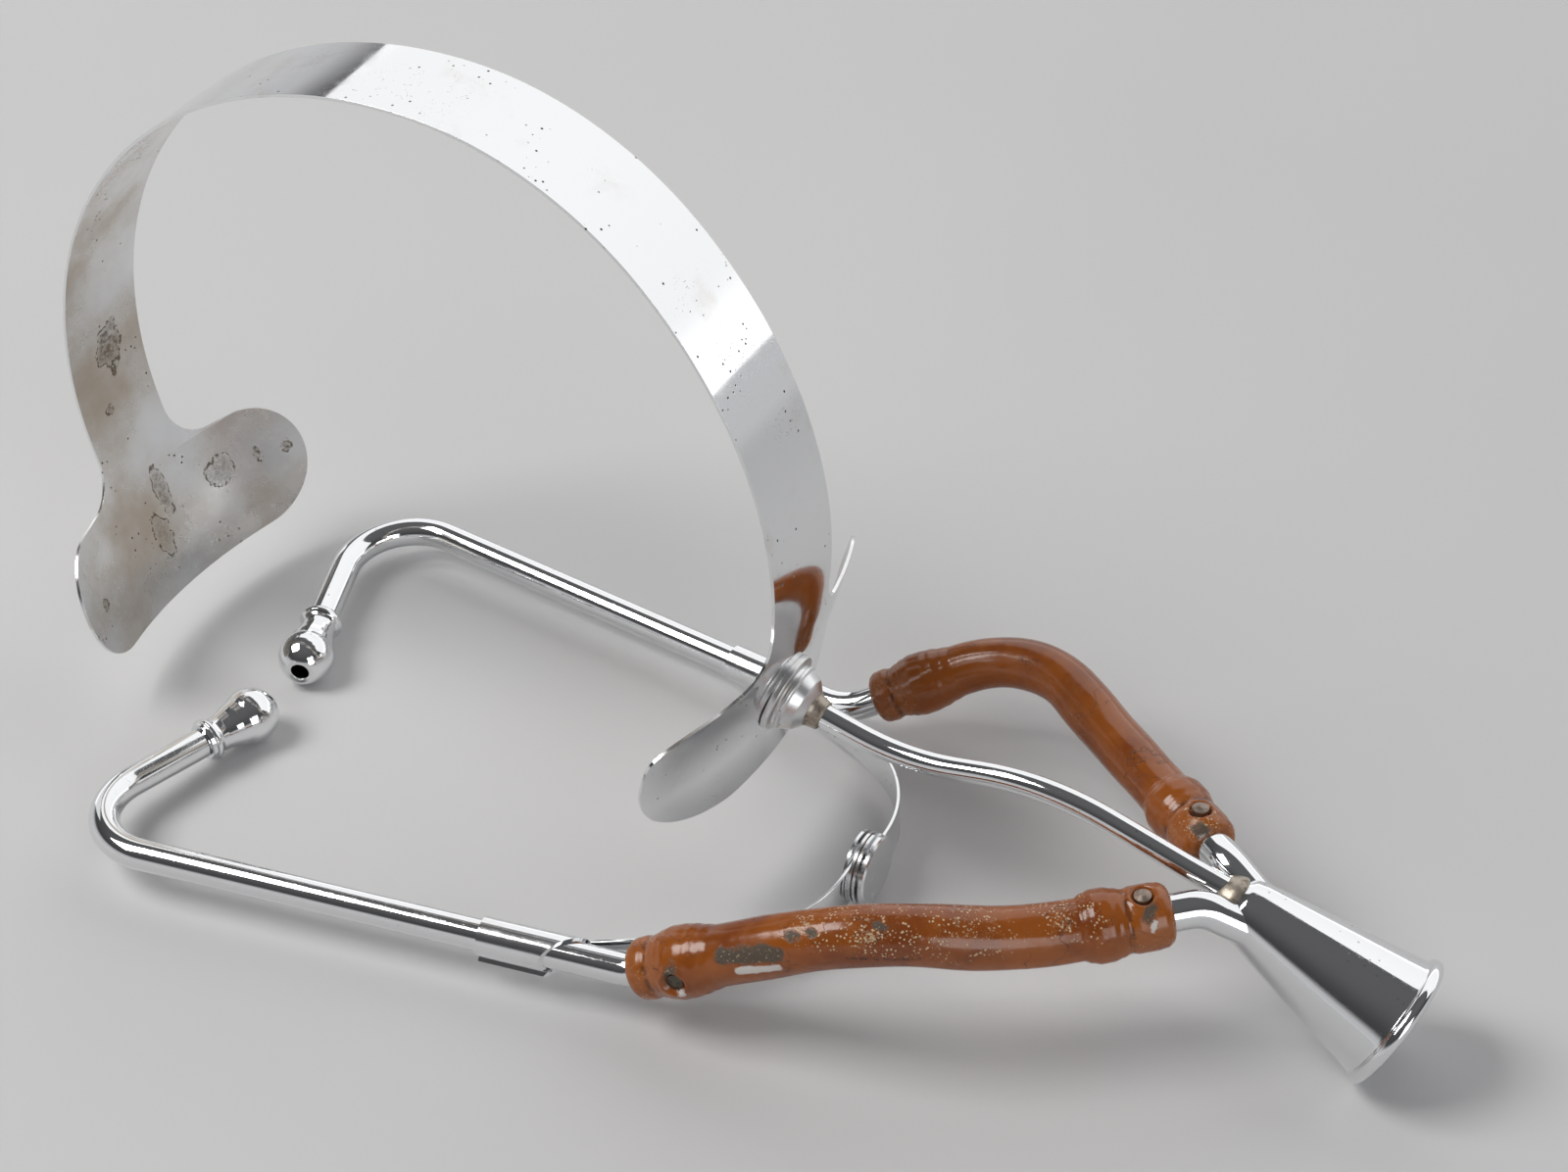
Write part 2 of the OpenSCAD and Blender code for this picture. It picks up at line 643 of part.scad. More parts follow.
// A hose's straight end, with room inside for the nipple and for its barb's half length.
barb_room = 2.6;
module hose_end(p, dir, length, metal, outer, outline, barb_at) {
    r = metal / 2 + hose_clearance;
    h = hose_bore / 2;
    translate(p)
        rotate(aim(dir))
            rotate_extrude()
                polygon(concat(
                    [[r, 0]],
                    [for (q = outline) [outer / 2 + q[0], q[1]]],
                    ring_end(outer / 2, h, length),
                    [[h, 17.5], [r - 0.2, 16.2], [r, 15.8],
                     [r, barb_at + barb_room + 1.2], [r + swell, barb_at + barb_room],
                     [r + swell, barb_at - barb_room], [r, barb_at - barb_room - 1.2]]));
}
stud_gap = 0.45;
module hose(side) {
    k = hose_bend[side < 0 ? 0 : 1];
    outer = side < 0 ? hose_near_diameter : hose_far_diameter;
    u = hose_ear_dir(side);
    w = hose_bell_dir(side);
    path = [hose_ear(side), hose_ear(side) + k[0] * u, hose_bell(side) + k[1] * w,
        hose_bell(side)];
    color(rubber)
        difference() {
            union() {
                bent_pipe(path, [0, k[2], k[3], 0], outer, hose_bore, ends = false);
                hose_end(path[0], u, k[0] - set_back(path[0], path[1], path[2], k[2]),
                         tube_diameter, outer, ear_collar, barb_ear);
                hose_end(path[3], w, k[1] - set_back(path[1], path[2], path[3], k[3]),
                         branch_diameter, outer, bell_collar, barb_bell);
            }
            translate(stud_bell(side))
                rotate(aim(stud_bell_dir(side)))
                    cylinder(h = 12, r = stud_diameter / 2 + stud_gap);
            in_pair()
                translate(stud_ear(side))
                    rotate(aim(stud_ear_dir(side)))
                        cylinder(h = 12, r = stud_diameter / 2 + stud_gap);
        }
}

// Leaf: a split sleeve on the ear tube, then a strip on edge that curves in to the hinge.
// Each side has its own first heading and first radius, as the photograph shows.
leaf_first = [[11.3, 73.8], [9.7, 66.2]];
leaf_mid_heading = 38;
sleeve_mid = -43.7;
sleeve_shift = 3;
sleeve_gap = 0.02;
hub_s = -1.9;
hub = friction_washer / 2 + disc_thickness + leaf_thickness / 2;
eye_gap = 0.04;
// Mid line of a strip from its start, each [s, v, heading towards the middle].
function strip_line(s0, v0, h0, r1, h1, plane) =
    let (s1 = s0 + r1 * (sin(h1) - sin(h0)),
         v1 = v0 - r1 * (cos(h0) - cos(h1)),
         r2 = (plane - s1) / (1 - sin(h1)))
    concat([[s0 - 2 * cos(h0), v0 + 2 * sin(h0), h0]],
        [for (i = [0:9]) let (h = h0 + (h1 - h0) * i / 10)
            [s0 + r1 * (sin(h) - sin(h0)), v0 - r1 * (cos(h0) - cos(h)), h]],
        [for (i = [0:12]) let (h = h1 + (90 - h1) * i / 12)
            [s1 + r2 * (sin(h) - sin(h1)), v1 - r2 * (cos(h1) - cos(h)), h]]);
module strip(line) {
    t = leaf_thickness / 2;
    left = [for (p = line) [p[0] + t * sin(p[2]), p[1] + t * cos(p[2])]];
    right = [for (i = [len(line) - 1:-1:0]) let (p = line[i])
        [p[0] - t * sin(p[2]), p[1] - t * cos(p[2])]];
    translate([0, 0, hinge_height - leaf_width / 2])
        linear_extrude(height = leaf_width)
            polygon(concat(left, right));
}
// The strip's flat end, pierced for the rivet.
module eye(plane, from, to) {
    t = leaf_thickness - eye_gap;
    w = leaf_width - 0.1;
    translate([plane - t / 2, 0, hinge_height])
        rotate([90, 0, 90])
            linear_extrude(height = t)
                difference() {
                    union() {
                        translate([to, -w / 2])
                            square([from - to, w]);
                        translate([to, 0])
                            circle(d = w);
                    }
                    translate([to, 0])
                        circle(d = rivet_diameter + rivet_gap);
                }
}
module sleeve() {
    r = tube_diameter / 2 + sleeve_gap;
    rotate([0, 0, -atan(tube_slope)])
        difference() {
            union() {
                translate([-sleeve_length, 0, 0])
                    rotate([0, 90, 0])
                        cylinder(h = sleeve_length + 5, r = r + leaf_thickness);
                rotate([50, 0, 0])
                    translate([-sleeve_length + 0.5, 0.2, -r - leaf_thickness - 1])
                        cube([sleeve_length - 2, leaf_thickness, 2]);
            }
            translate([-sleeve_length - 1, 0, 0])
                rotate([0, 90, 0])
                    cylinder(h = sleeve_length + 8, r = r);
            // The front is cut at a slant, longer towards the middle of the pair.
            translate([0, 0, -10])
                rotate([0, 0, 46])
                    translate([0, -20, 0])
                        cube([20, 40, 20]);
            // The slit, below and towards the outside, with a lip on one side.
            rotate([50, 0, 0])
                translate([-sleeve_length - 1, -0.4, -10])
                    cube([sleeve_length + 10, 0.8, 10]);
        }
}
module leaf(side) {
    first = leaf_first[side < 0 ? 0 : 1];
    s0 = sleeve_mid + side * sleeve_shift;
    v0 = tube_line(s0) - tube_diameter / 2 - leaf_thickness;
    plane = hub_s + side * hub;
    line = strip_line(s0, v0, first[0], first[1], leaf_mid_heading, plane);
    color(chrome)
        in_pair()
            mirror([0, side < 0 ? 1 : 0, 0])
                difference() {
                    union() {
                        strip(line);
                        eye(plane, line[len(line) - 1][1] + 1, side * hinge_offset);
                        translate([s0, tube_line(s0), tube_z(side)])
                            sleeve();
                    }
                    // Nothing of the strip reaches into the tube.
                    translate([s0, tube_line(s0), tube_z(side)])
                        rotate([0, 90, -atan(tube_slope)])
                            translate([0, 0, -8])
                                cylinder(h = 16, r = tube_diameter / 2 + sleeve_gap / 2);
                }
}

// Hinge: the discs, the washer and the caps on one rivet along the pair's own x.
module on_rivet(d) {
    in_pair()
        translate([hub_s + d, hinge_offset, hinge_height])
            rotate([0, 90, 0])
                children();
}
module ring(d, thickness, outer, hole) {
    on_rivet(d)
        difference() {
            cylinder(h = thickness, d = outer);
            translate([0, 0, -1])
                cylinder(h = thickness + 2, d = hole);
        }
}
rivet_gap = 0.1;
module disc_near() {
    color(chrome)
        ring(-friction_washer / 2 - disc_thickness, disc_thickness, disc_diameter,
             rivet_diameter + rivet_gap);
}
module disc_far() {
    color(chrome)
        ring(friction_washer / 2, disc_thickness, disc_diameter, rivet_diameter + rivet_gap);
}
module hinge_washer() {
    color(dull)
        ring(-friction_washer / 2, friction_washer, disc_diameter - 1.6,
             rivet_diameter + rivet_gap);
}
stack = friction_washer / 2 + disc_thickness + leaf_thickness;
cap_thickness = 0.7;
head_height = 1.2;
module hinge_cap() {
    color(chrome)
        ring(-stack - cap_thickness, cap_thickness, disc_diameter, rivet_diameter);
}
module hinge_rivet() {
    color(chrome)
        union() {
            on_rivet(-stack - cap_thickness)
                cylinder(h = 2 * stack + cap_thickness, d = rivet_diameter);
            on_rivet(stack)
                rotate_extrude()
                    polygon([[0, 0], [disc_diameter / 2, 0],
                        [disc_diameter / 2, head_height - 0.4],
                        [disc_diameter / 2 - 0.4, head_height], [0, head_height]]);
        }
}

head_band();
boss_washer();
boss_rivet_pin();
forehead_boss();
stem();
bell();
branch(-1);  // branch_near
branch(1);  // branch_far
hose(-1);  // hose_near
hose(1);  // hose_far
stud_at_bell(-1);  // stud_bell_near
stud_at_bell(1);  // stud_bell_far
stud_at_ear(-1);  // stud_ear_near
stud_at_ear(1);  // stud_ear_far
ear_tube(-1);  // ear_tube_near
ear_tube(1);  // ear_tube_far
ear_tip(-1);  // ear_tip_near
ear_tip(1);  // ear_tip_far
leaf(-1);  // leaf_near
leaf(1);  // leaf_far
disc_near();
disc_far();
hinge_washer();
hinge_cap();
hinge_rivet();
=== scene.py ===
"""Looks of a head-worn obstetric stethoscope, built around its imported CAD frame.

Shapes are worked out in millimetres, in the frame of the CAD part, and turned into
metres where a mesh is made. +X runs towards the bell, +Y to the far side, +Z is up.
"""

import math

import bmesh
import bpy
from mathutils import Matrix, Vector


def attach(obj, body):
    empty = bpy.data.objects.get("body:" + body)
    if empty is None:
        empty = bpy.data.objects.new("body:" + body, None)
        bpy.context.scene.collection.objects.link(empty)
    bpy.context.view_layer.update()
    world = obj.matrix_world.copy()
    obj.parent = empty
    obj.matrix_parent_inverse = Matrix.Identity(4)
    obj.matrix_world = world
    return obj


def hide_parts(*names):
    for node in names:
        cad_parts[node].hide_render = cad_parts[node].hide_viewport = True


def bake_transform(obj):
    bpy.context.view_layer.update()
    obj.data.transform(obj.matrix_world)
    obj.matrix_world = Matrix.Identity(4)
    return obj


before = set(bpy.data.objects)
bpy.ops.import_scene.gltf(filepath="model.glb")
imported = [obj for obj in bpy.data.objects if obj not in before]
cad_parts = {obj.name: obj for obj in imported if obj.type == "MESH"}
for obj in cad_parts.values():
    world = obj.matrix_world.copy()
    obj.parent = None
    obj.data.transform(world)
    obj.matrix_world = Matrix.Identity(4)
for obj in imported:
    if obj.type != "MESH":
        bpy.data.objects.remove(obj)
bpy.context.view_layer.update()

MM = 0.001
NEAR = -1
FAR = 1
SIDE_NAME = {NEAR: "near", FAR: "far"}


def put(name, data):
    """A new object in the scene."""
    obj = bpy.data.objects.new(name, data)
    bpy.context.scene.collection.objects.link(obj)
    return obj


# Camera: the photograph's own viewpoint.

PHOTO_WIDTH = 1600
FOCAL_PIXELS = 2993.3
SENSOR_MM = 36.0
CAMERA_AZIMUTH = math.radians(30.511)
CAMERA_ELEVATION = math.radians(39.197)
CAMERA_ROLL = math.radians(-1.278)
CAMERA_PLACE = (250.72, -408.38, 459.34)
CLIP_START = 0.01


def add_camera():
    data = bpy.data.cameras.new("camera")
    data.sensor_width = SENSOR_MM
    data.lens = FOCAL_PIXELS * SENSOR_MM / PHOTO_WIDTH
    data.clip_start = CLIP_START
    camera = put("camera", data)
    turn = (Matrix.Rotation(CAMERA_AZIMUTH, 4, "Z")
            @ Matrix.Rotation(math.pi / 2 - CAMERA_ELEVATION, 4, "X")
            @ Matrix.Rotation(CAMERA_ROLL, 4, "Z"))
    camera.matrix_world = Matrix.Translation(Vector(CAMERA_PLACE) * MM) @ turn
    bpy.context.scene.camera = camera


# Shape helpers.

def unit(v):
    return Vector(v).normalized()


def shares(steps):
    """Even shares from 0 to 1."""
    return [k / steps for k in range(steps + 1)]


def add_object(name, points, faces, sharp=38.0, close_up=0.0005):
    """A smooth mesh object from points in millimetres; edges over the sharp angle stay crisp."""
    mesh = bpy.data.meshes.new(name)
    mesh.from_pydata([Vector(p) * MM for p in points], [], faces)
    shape = bmesh.new()
    shape.from_mesh(mesh)
    bmesh.ops.remove_doubles(shape, verts=shape.verts, dist=close_up * MM)
    bmesh.ops.recalc_face_normals(shape, faces=shape.faces)
    shape.to_mesh(mesh)
    shape.free()
    for polygon in mesh.polygons:
        polygon.use_smooth = True
    mesh.set_sharp_from_angle(angle=math.radians(sharp))
    return put(name, mesh)


def grid_faces(rows, columns, wrap_rows=False, wrap_columns=False):
    """Faces between neighbouring points of a grid that is listed row by row."""
    faces = []
    for i in range(rows if wrap_rows else rows - 1):
        j = (i + 1) % rows
        for k in range(columns if wrap_columns else columns - 1):
            n = (k + 1) % columns
            faces.append((i * columns + k, i * columns + n, j * columns + n,
                          j * columns + k))
    return faces


def settle(piece, material, body, node=None):
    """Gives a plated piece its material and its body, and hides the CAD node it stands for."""
    piece.data.materials.append(material)
    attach(piece, body)
    if node:
        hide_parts(node)


def bent_points(points, radii, arc_step=3.0):
    """The points of a line that turns round each inner corner on an arc of its radius."""
    points = [Vector(p) for p in points]
    line = [points[0]]
    for i in range(1, len(points) - 1):
        back = unit(points[i - 1] - points[i])
        ahead = unit(points[i + 1] - points[i])
        turn = math.pi - math.acos(back.dot(ahead))
        start = points[i] + back * radii[i] * math.tan(turn / 2)
        centre = points[i] + unit(back + ahead) * radii[i] / math.cos(turn / 2)
        outward = start - centre
        axis = unit(back.cross(ahead))
        steps = max(4, math.ceil(math.degrees(turn) / arc_step))
        for share in shares(steps):
            line.append(centre + Matrix.Rotation(-turn * share, 3, axis) @ outward)
    line.append(points[-1])
    return line


class Path:
    """A line through points, with a smoothly carried frame, read by distance."""

    def __init__(self, points, spacing=0.5):
        self.places = self.spread(points, spacing)
        self.length = spacing * (len(self.places) - 1)
        self.tangents = []
        for i in range(len(self.places)):
            before = self.places[max(0, i - 1)]
            after = self.places[min(len(self.places) - 1, i + 1)]
            self.tangents.append(unit(after - before))
        first = self.tangents[0]
        across = first.cross(Vector((0, 0, 1)))
        if across.length < 0.1:
            across = first.cross(Vector((1, 0, 0)))
        self.normals = [across.normalized()]
        for tangent in self.tangents[1:]:
            carried = self.normals[-1] - tangent * self.normals[-1].dot(tangent)
            self.normals.append(carried.normalized())

    @staticmethod
    def spread(points, spacing):
        """Evenly spaced places along the line, its two ends among them."""
        points = [Vector(p) for p in points]
        lengths = [(b - a).length for a, b in zip(points, points[1:])]
        total = sum(lengths)
        places = []
        segment = 0
        passed = 0.0
        for part in shares(max(2, round(total / spacing))):
            goal = total * part
            while segment < len(lengths) - 1 and passed + lengths[segment] < goal:
                passed += lengths[segment]
                segment += 1
            share = (goal - passed) / lengths[segment]
            places.append(points[segment].lerp(points[segment + 1], min(1.0, share)))
        return places

    def at(self, distance):
        """The place, tangent and normal at a distance; past the ends the line runs straight."""
        last = len(self.places) - 1
        at = distance / self.length * last
        i = max(0, min(last - 1, math.floor(at)))
        share = at - i
        place = self.places[i] + (self.places[i + 1] - self.places[i]) * share
        blend = max(0.0, min(1.0, share))
        tangent = unit(self.tangents[i].lerp(self.tangents[i + 1], blend))
        normal = self.normals[i].lerp(self.normals[i + 1], blend)
        normal = (normal - tangent * normal.dot(tangent)).normalized()
        return place, tangent, normal


def ring(path, distance, radius, sides):
    place, tangent, normal = path.at(distance)
    side = tangent.cross(normal)
    turns = [2 * math.pi * k / sides for k in range(sides)]
    return [place + (normal * math.cos(a) + side * math.sin(a)) * radius for a in turns]


def tube(name, path, profile, sides=48, closed=True, sharp=38.0):
    """Rings along a path, one for each [distance, radius] of the profile."""
    points = []
    for distance, radius in profile:
        points += ring(path, distance, max(radius, 0.0), sides)
    faces = grid_faces(len(profile), sides, wrap_rows=closed, wrap_columns=True)
    return add_object(name, points, faces, sharp)


def rounded(profile, radius, closed=True, steps=3):
    """The profile with each corner turned into a small curve."""
    count = len(profile)
    result = []
    for i in range(count):
        here = Vector(profile[i])
        if not closed and i in (0, count - 1):
            result.append(tuple(here))
            continue
        back = Vector(profile[i - 1]) - here
        ahead = Vector(profile[(i + 1) % count]) - here
        reach = min(radius, back.length * 0.45, ahead.length * 0.45)
        a = here + back.normalized() * reach
        b = here + ahead.normalized() * reach
        for t in shares(steps):
            result.append(tuple(a * (1 - t) ** 2 + here * 2 * t * (1 - t) + b * t ** 2))
    return result


def turned(name, origin, axis, profile, radius, sides=72, closed=False, sharp=38.0):
    """A piece turned about an axis, from a profile of [distance, radius]."""
    line = Path([origin, Vector(origin) + unit(axis) * 10])
    return tube(name, line, rounded(profile, radius, closed), sides, closed, sharp)


def smooth_between(points, d):
    """Value at d of a curve through [distance, value] points, level at each of them."""
    if d <= points[0][0]:
        return points[0][1]
    for a, b in zip(points, points[1:]):
        if d <= b[0]:
            t = (d - a[0]) / (b[0] - a[0])
            return a[1] + (b[1] - a[1]) * t * t * (3 - 2 * t)
    return points[-1][1]


# Materials. Coordinates are millimetres of the piece's own place.

class Shader:
    """A procedural material under construction around one Principled shader."""

    def __init__(self, name):
        self.material = bpy.data.materials.new(name)
        self.material.use_nodes = True
        self.tree = self.material.node_tree
        self.surface = self.tree.nodes["Principled BSDF"]
        coordinates = self.add("ShaderNodeTexCoord")
        self.place = self.vector("SCALE", coordinates.outputs["Object"], 1 / MM)
        self.colour = None
        self.heights = []

    def add(self, kind, **settings):
        node = self.tree.nodes.new(kind)
        for key, value in settings.items():
            setattr(node, key, value)
        return node

    def join(self, value, socket):
        """Links an output to a socket, or writes a plain value on it."""
        if isinstance(value, bpy.types.NodeSocket):
            self.tree.links.new(value, socket)
        else:
            socket.default_value = value

    def maths(self, operation, a, b=0.0):
        node = self.add("ShaderNodeMath", operation=operation)
        self.join(a, node.inputs[0])
        self.join(b, node.inputs[1])
        return node.outputs[0]

    def vector(self, operation, a, b=None):
        """A step with vectors; the scale of one is a plain value, and so are measures."""
        node = self.add("ShaderNodeVectorMath", operation=operation)
        self.join(a, node.inputs[0])
        if b is not None:
            self.join(b, node.inputs["Scale" if operation == "SCALE" else 1])
        measures = operation in ("DOT_PRODUCT", "LENGTH", "DISTANCE")
        return node.outputs["Value" if measures else "Vector"]

    def noise(self, per_mm, detail=4.0, roughness=0.55, place=None, offset=0.0):
        node = self.add("ShaderNodeTexNoise", noise_dimensions="4D")
        self.join(place or self.place, node.inputs["Vector"])
        node.inputs["W"].default_value = offset
        node.inputs["Scale"].default_value = per_mm
        node.inputs["Detail"].default_value = detail
        node.inputs["Roughness"].default_value = roughness
        return node.outputs["Fac"]

    def cells(self, per_mm):
        """The distance to the nearest of many scattered points, in cell sizes."""
        node = self.add("ShaderNodeTexVoronoi")
        self.join(self.place, node.inputs["Vector"])
        node.inputs["Scale"].default_value = per_mm
        return node.outputs["Distance"]

    def between(self, value, low, high):
        """0 below low and 1 above high, with a soft step between; low may be above high."""
        node = self.add("ShaderNodeMapRange", interpolation_type="SMOOTHSTEP")
        self.join(value, node.inputs["Value"])
        node.inputs["From Min"].default_value = low
        node.inputs["From Max"].default_value = high
        return node.outputs["Result"]

    def patches(self, per_mm, detail, offset, low, high, roughness=0.55):
        """Soft patches, where a noise lies above a level."""
        noise = self.noise(per_mm, detail, roughness, offset=offset)
        return self.between(noise, low, high)

    def chained(self, operation, values):
        result = values[0]
        for value in values[1:]:
            result = self.maths(operation, result, value)
        return result

    def times(self, *values):
        return self.chained("MULTIPLY", values)

    def plus(self, *values):
        return self.chained("ADD", values)

    def most(self, *values):
        return self.chained("MAXIMUM", values)

    def mixed(self, factor, a, b):
        node = self.add("ShaderNodeMix", data_type="RGBA")
        self.join(factor, node.inputs[0])
        sockets = [socket for socket in node.inputs if socket.type == "RGBA"]
        for value, socket in zip((a, b), sockets):
            is_link = isinstance(value, bpy.types.NodeSocket)
            self.join(value if is_link else (*value, 1.0), socket)
        return [socket for socket in node.outputs if socket.type == "RGBA"][0]

    def coat(self, mask, tone, strength=1.0):
        """Lays a tone over the colour so far."""
        self.colour = self.mixed(self.times(mask, strength), self.colour, tone)

    def spot(self, centre, radius, stretch, ragged, softness):
        """1 within a radius of a place, with a ragged edge."""
        squeezed = self.vector("MULTIPLY", self.vector("SUBTRACT", self.place, centre),
                               [1 / s for s in stretch])
        edge = self.times(self.noise(1.6 / radius, 5.0), ragged * radius * 2)
        self.ragged_length = self.plus(self.vector("LENGTH", squeezed), edge)
        self.ragged_edge = radius * (1 + ragged)
        return self.between(self.ragged_length, self.ragged_edge,
                            self.ragged_edge * (1 - softness))

    def last_outline(self, width):
        """1 on a broken line round the last spot."""
        off = self.maths("ABSOLUTE", self.maths("SUBTRACT", self.ragged_length,
                                                self.ragged_edge * 0.93))
        broken = self.patches(0.9, 4.0, 31.0, 0.42, 0.52)
        return self.times(self.between(off, width, width * 0.3), broken)

    def streak(self, first, last, radius):
        """1 within a radius of the line between two places, with a ragged edge."""
        ragged = 1.1
        span = Vector(last) - Vector(first)
        shift = self.vector("SUBTRACT", self.place, first)
        share = self.times(self.vector("DOT_PRODUCT", shift, span), 1 / span.length_squared)
        share = self.maths("MINIMUM", self.most(share, 0.0), 1.0)
        off = self.vector("DISTANCE", shift, self.vector("SCALE", span, share))
        edge = self.times(self.noise(0.22, 8.0, 0.72, offset=29.0), ragged * radius * 2)
        reach = radius * (1 + ragged)
        return self.between(self.plus(off, edge), reach, reach * 0.8)

    def slab(self, centre, direction, half):
        """1 near the plane through a place, square to a direction, within a hose's reach."""
        shift = self.vector("SUBTRACT", self.place, centre)
        off = self.maths("ABSOLUTE", self.vector("DOT_PRODUCT", shift, direction))
        near = self.between(self.vector("LENGTH", shift), 12.0, 10.0)
        return self.times(self.between(off, half, half * 0.2), near)

    def head_side(self):
        """1 where the band's surface faces the middle of the arch."""
        normal = self.add("ShaderNodeNewGeometry").outputs["True Normal"]
        inward = self.vector("SUBTRACT", ARCH_MIDDLE, self.place)
        return self.between(self.vector("DOT_PRODUCT", inward, normal), -1.0, 1.0)

    def raise_by(self, value, height):
        """Adds a relief of a height in millimetres."""
        self.heights.append(self.maths("MULTIPLY", value, height))

    def finish(self, roughness, metallic=0.0):
        self.join(self.colour, self.surface.inputs["Base Color"])
        self.join(roughness, self.surface.inputs["Roughness"])
        self.surface.inputs["Metallic"].default_value = metallic
        bump = self.add("ShaderNodeBump")
        bump.inputs["Strength"].default_value = 1.0
        bump.inputs["Distance"].default_value = MM
        self.join(self.plus(*self.heights, 0.0), bump.inputs["Height"])
        self.join(bump.outputs["Normal"], self.surface.inputs["Normal"])
        return self.material


CHROME = (0.80, 0.81, 0.82)
ARCH_MIDDLE = (-80.0, 0.0, 80.0)
TARNISH = (0.36, 0.255, 0.14)
STAIN = (0.115, 0.085, 0.05)
PIT = (0.040, 0.027, 0.018)


def chrome(name, pitting, haze, tarnish, stains=(), drifts=(), dull_side=False):
    """Old chrome plate: mirror bright, with pits in drifts, thin brown film and fine wear.

    Each stain is [centre, radius, stretch, strength] and each drift [centre, radius,
    stretch]. With dull_side, the side of the band towards the head is hazy and brownish."""
    s = Shader(name)
    drift = s.patches(0.035, 5.0, 1.0, 0.62 - 0.12 * pitting, 0.72)
    for centre, radius, stretch in drifts:
        drift = s.most(drift, s.spot(centre, radius, stretch, 0.6, 0.6))
    speck = s.times(s.between(s.cells(1.7), 0.22, 0.12), s.patches(0.4, 3.0, 4.0, 0.50, 0.56),
                    drift)
    blot = s.times(s.between(s.cells(0.55), 0.20, 0.10), s.patches(0.12, 3.0, 7.0, 0.56, 0.60))
    pits = s.most(speck, s.times(blot, pitting))
    film = s.times(s.patches(0.045, 6.0, 2.0, 0.56, 0.74, 0.62), tarnish)
    inside = s.head_side() if dull_side else 0.0
    film = s.most(film, s.times(inside, s.patches(0.03, 5.0, 21.0, 0.35, 0.70), 0.70))
    grain = s.patches(1.1, 6.0, 25.0, 0.30, 0.62, 0.7)
    stain = 0.0
    for centre, radius, stretch, strength in stains:
        filled = s.times(s.spot(centre, radius, stretch, 0.7, 0.35), grain, strength)
        stain = s.most(stain, filled, s.times(s.last_outline(0.5), 0.85))
    s.colour = s.mixed(film, CHROME, TARNISH)
    s.coat(stain, STAIN)
    s.coat(pits, PIT, 0.95)
    wear = s.patches(0.25, 6.0, 3.0, 0.40, 0.75)
    scratch_place = s.vector("MULTIPLY", s.place, (0.15, 1.0, 1.0))
    scratches = s.between(s.noise(5.0, 2.0, place=scratch_place), 0.60, 0.70)
    roughness = s.plus(haze, s.times(wear, 0.06), s.times(scratches, 0.05),
                       s.times(film, 0.22), s.times(stain, 0.35), s.times(pits, 0.45),
                       s.times(inside, 0.12))
    s.raise_by(s.noise(0.05, 1.0, offset=5.0), 0.08)
    s.raise_by(pits, -0.015)
    s.raise_by(scratches, -0.002)
    s.raise_by(stain, 0.010)
    return s.finish(roughness, metallic=1.0)


def solder(name, pale, dark):
    """Brownish solder and dull metal: grainy, uneven, with patches of dark grime."""
    s = Shader(name)
    grain = s.noise(1.4, 6.0, 0.65)
    grime = s.patches(0.5, 5.0, 2.0, 0.48, 0.66)
    s.colour = s.mixed(s.times(grime, 0.75), pale, dark)
    roughness = s.plus(0.26, s.times(grain, 0.25), s.times(grime, 0.2))
    s.raise_by(grain, 0.06)
    s.raise_by(s.noise(5.0, 3.0), 0.015)
    return s.finish(roughness, metallic=0.9)


RUBBER = (0.305, 0.082, 0.010)
RUBBER_DARK = (0.190, 0.044, 0.007)
RUBBER_WORN = (0.39, 0.140, 0.045)
RUBBER_CRACK = (0.055, 0.016, 0.008)
BLOOM = (0.66, 0.52, 0.33)
GREY_CRUST = (0.062, 0.056, 0.042)
WHITE_CRUST = (0.66, 0.63, 0.60)


def gathered(s, spots, ragged, softness):
    """1 inside any of the spots, each [centre, radius, stretch]."""
    found = 0.0
    for centre, radius, stretch in spots:
        found = s.most(found, s.spot(centre, radius, stretch, ragged, softness))
    return found


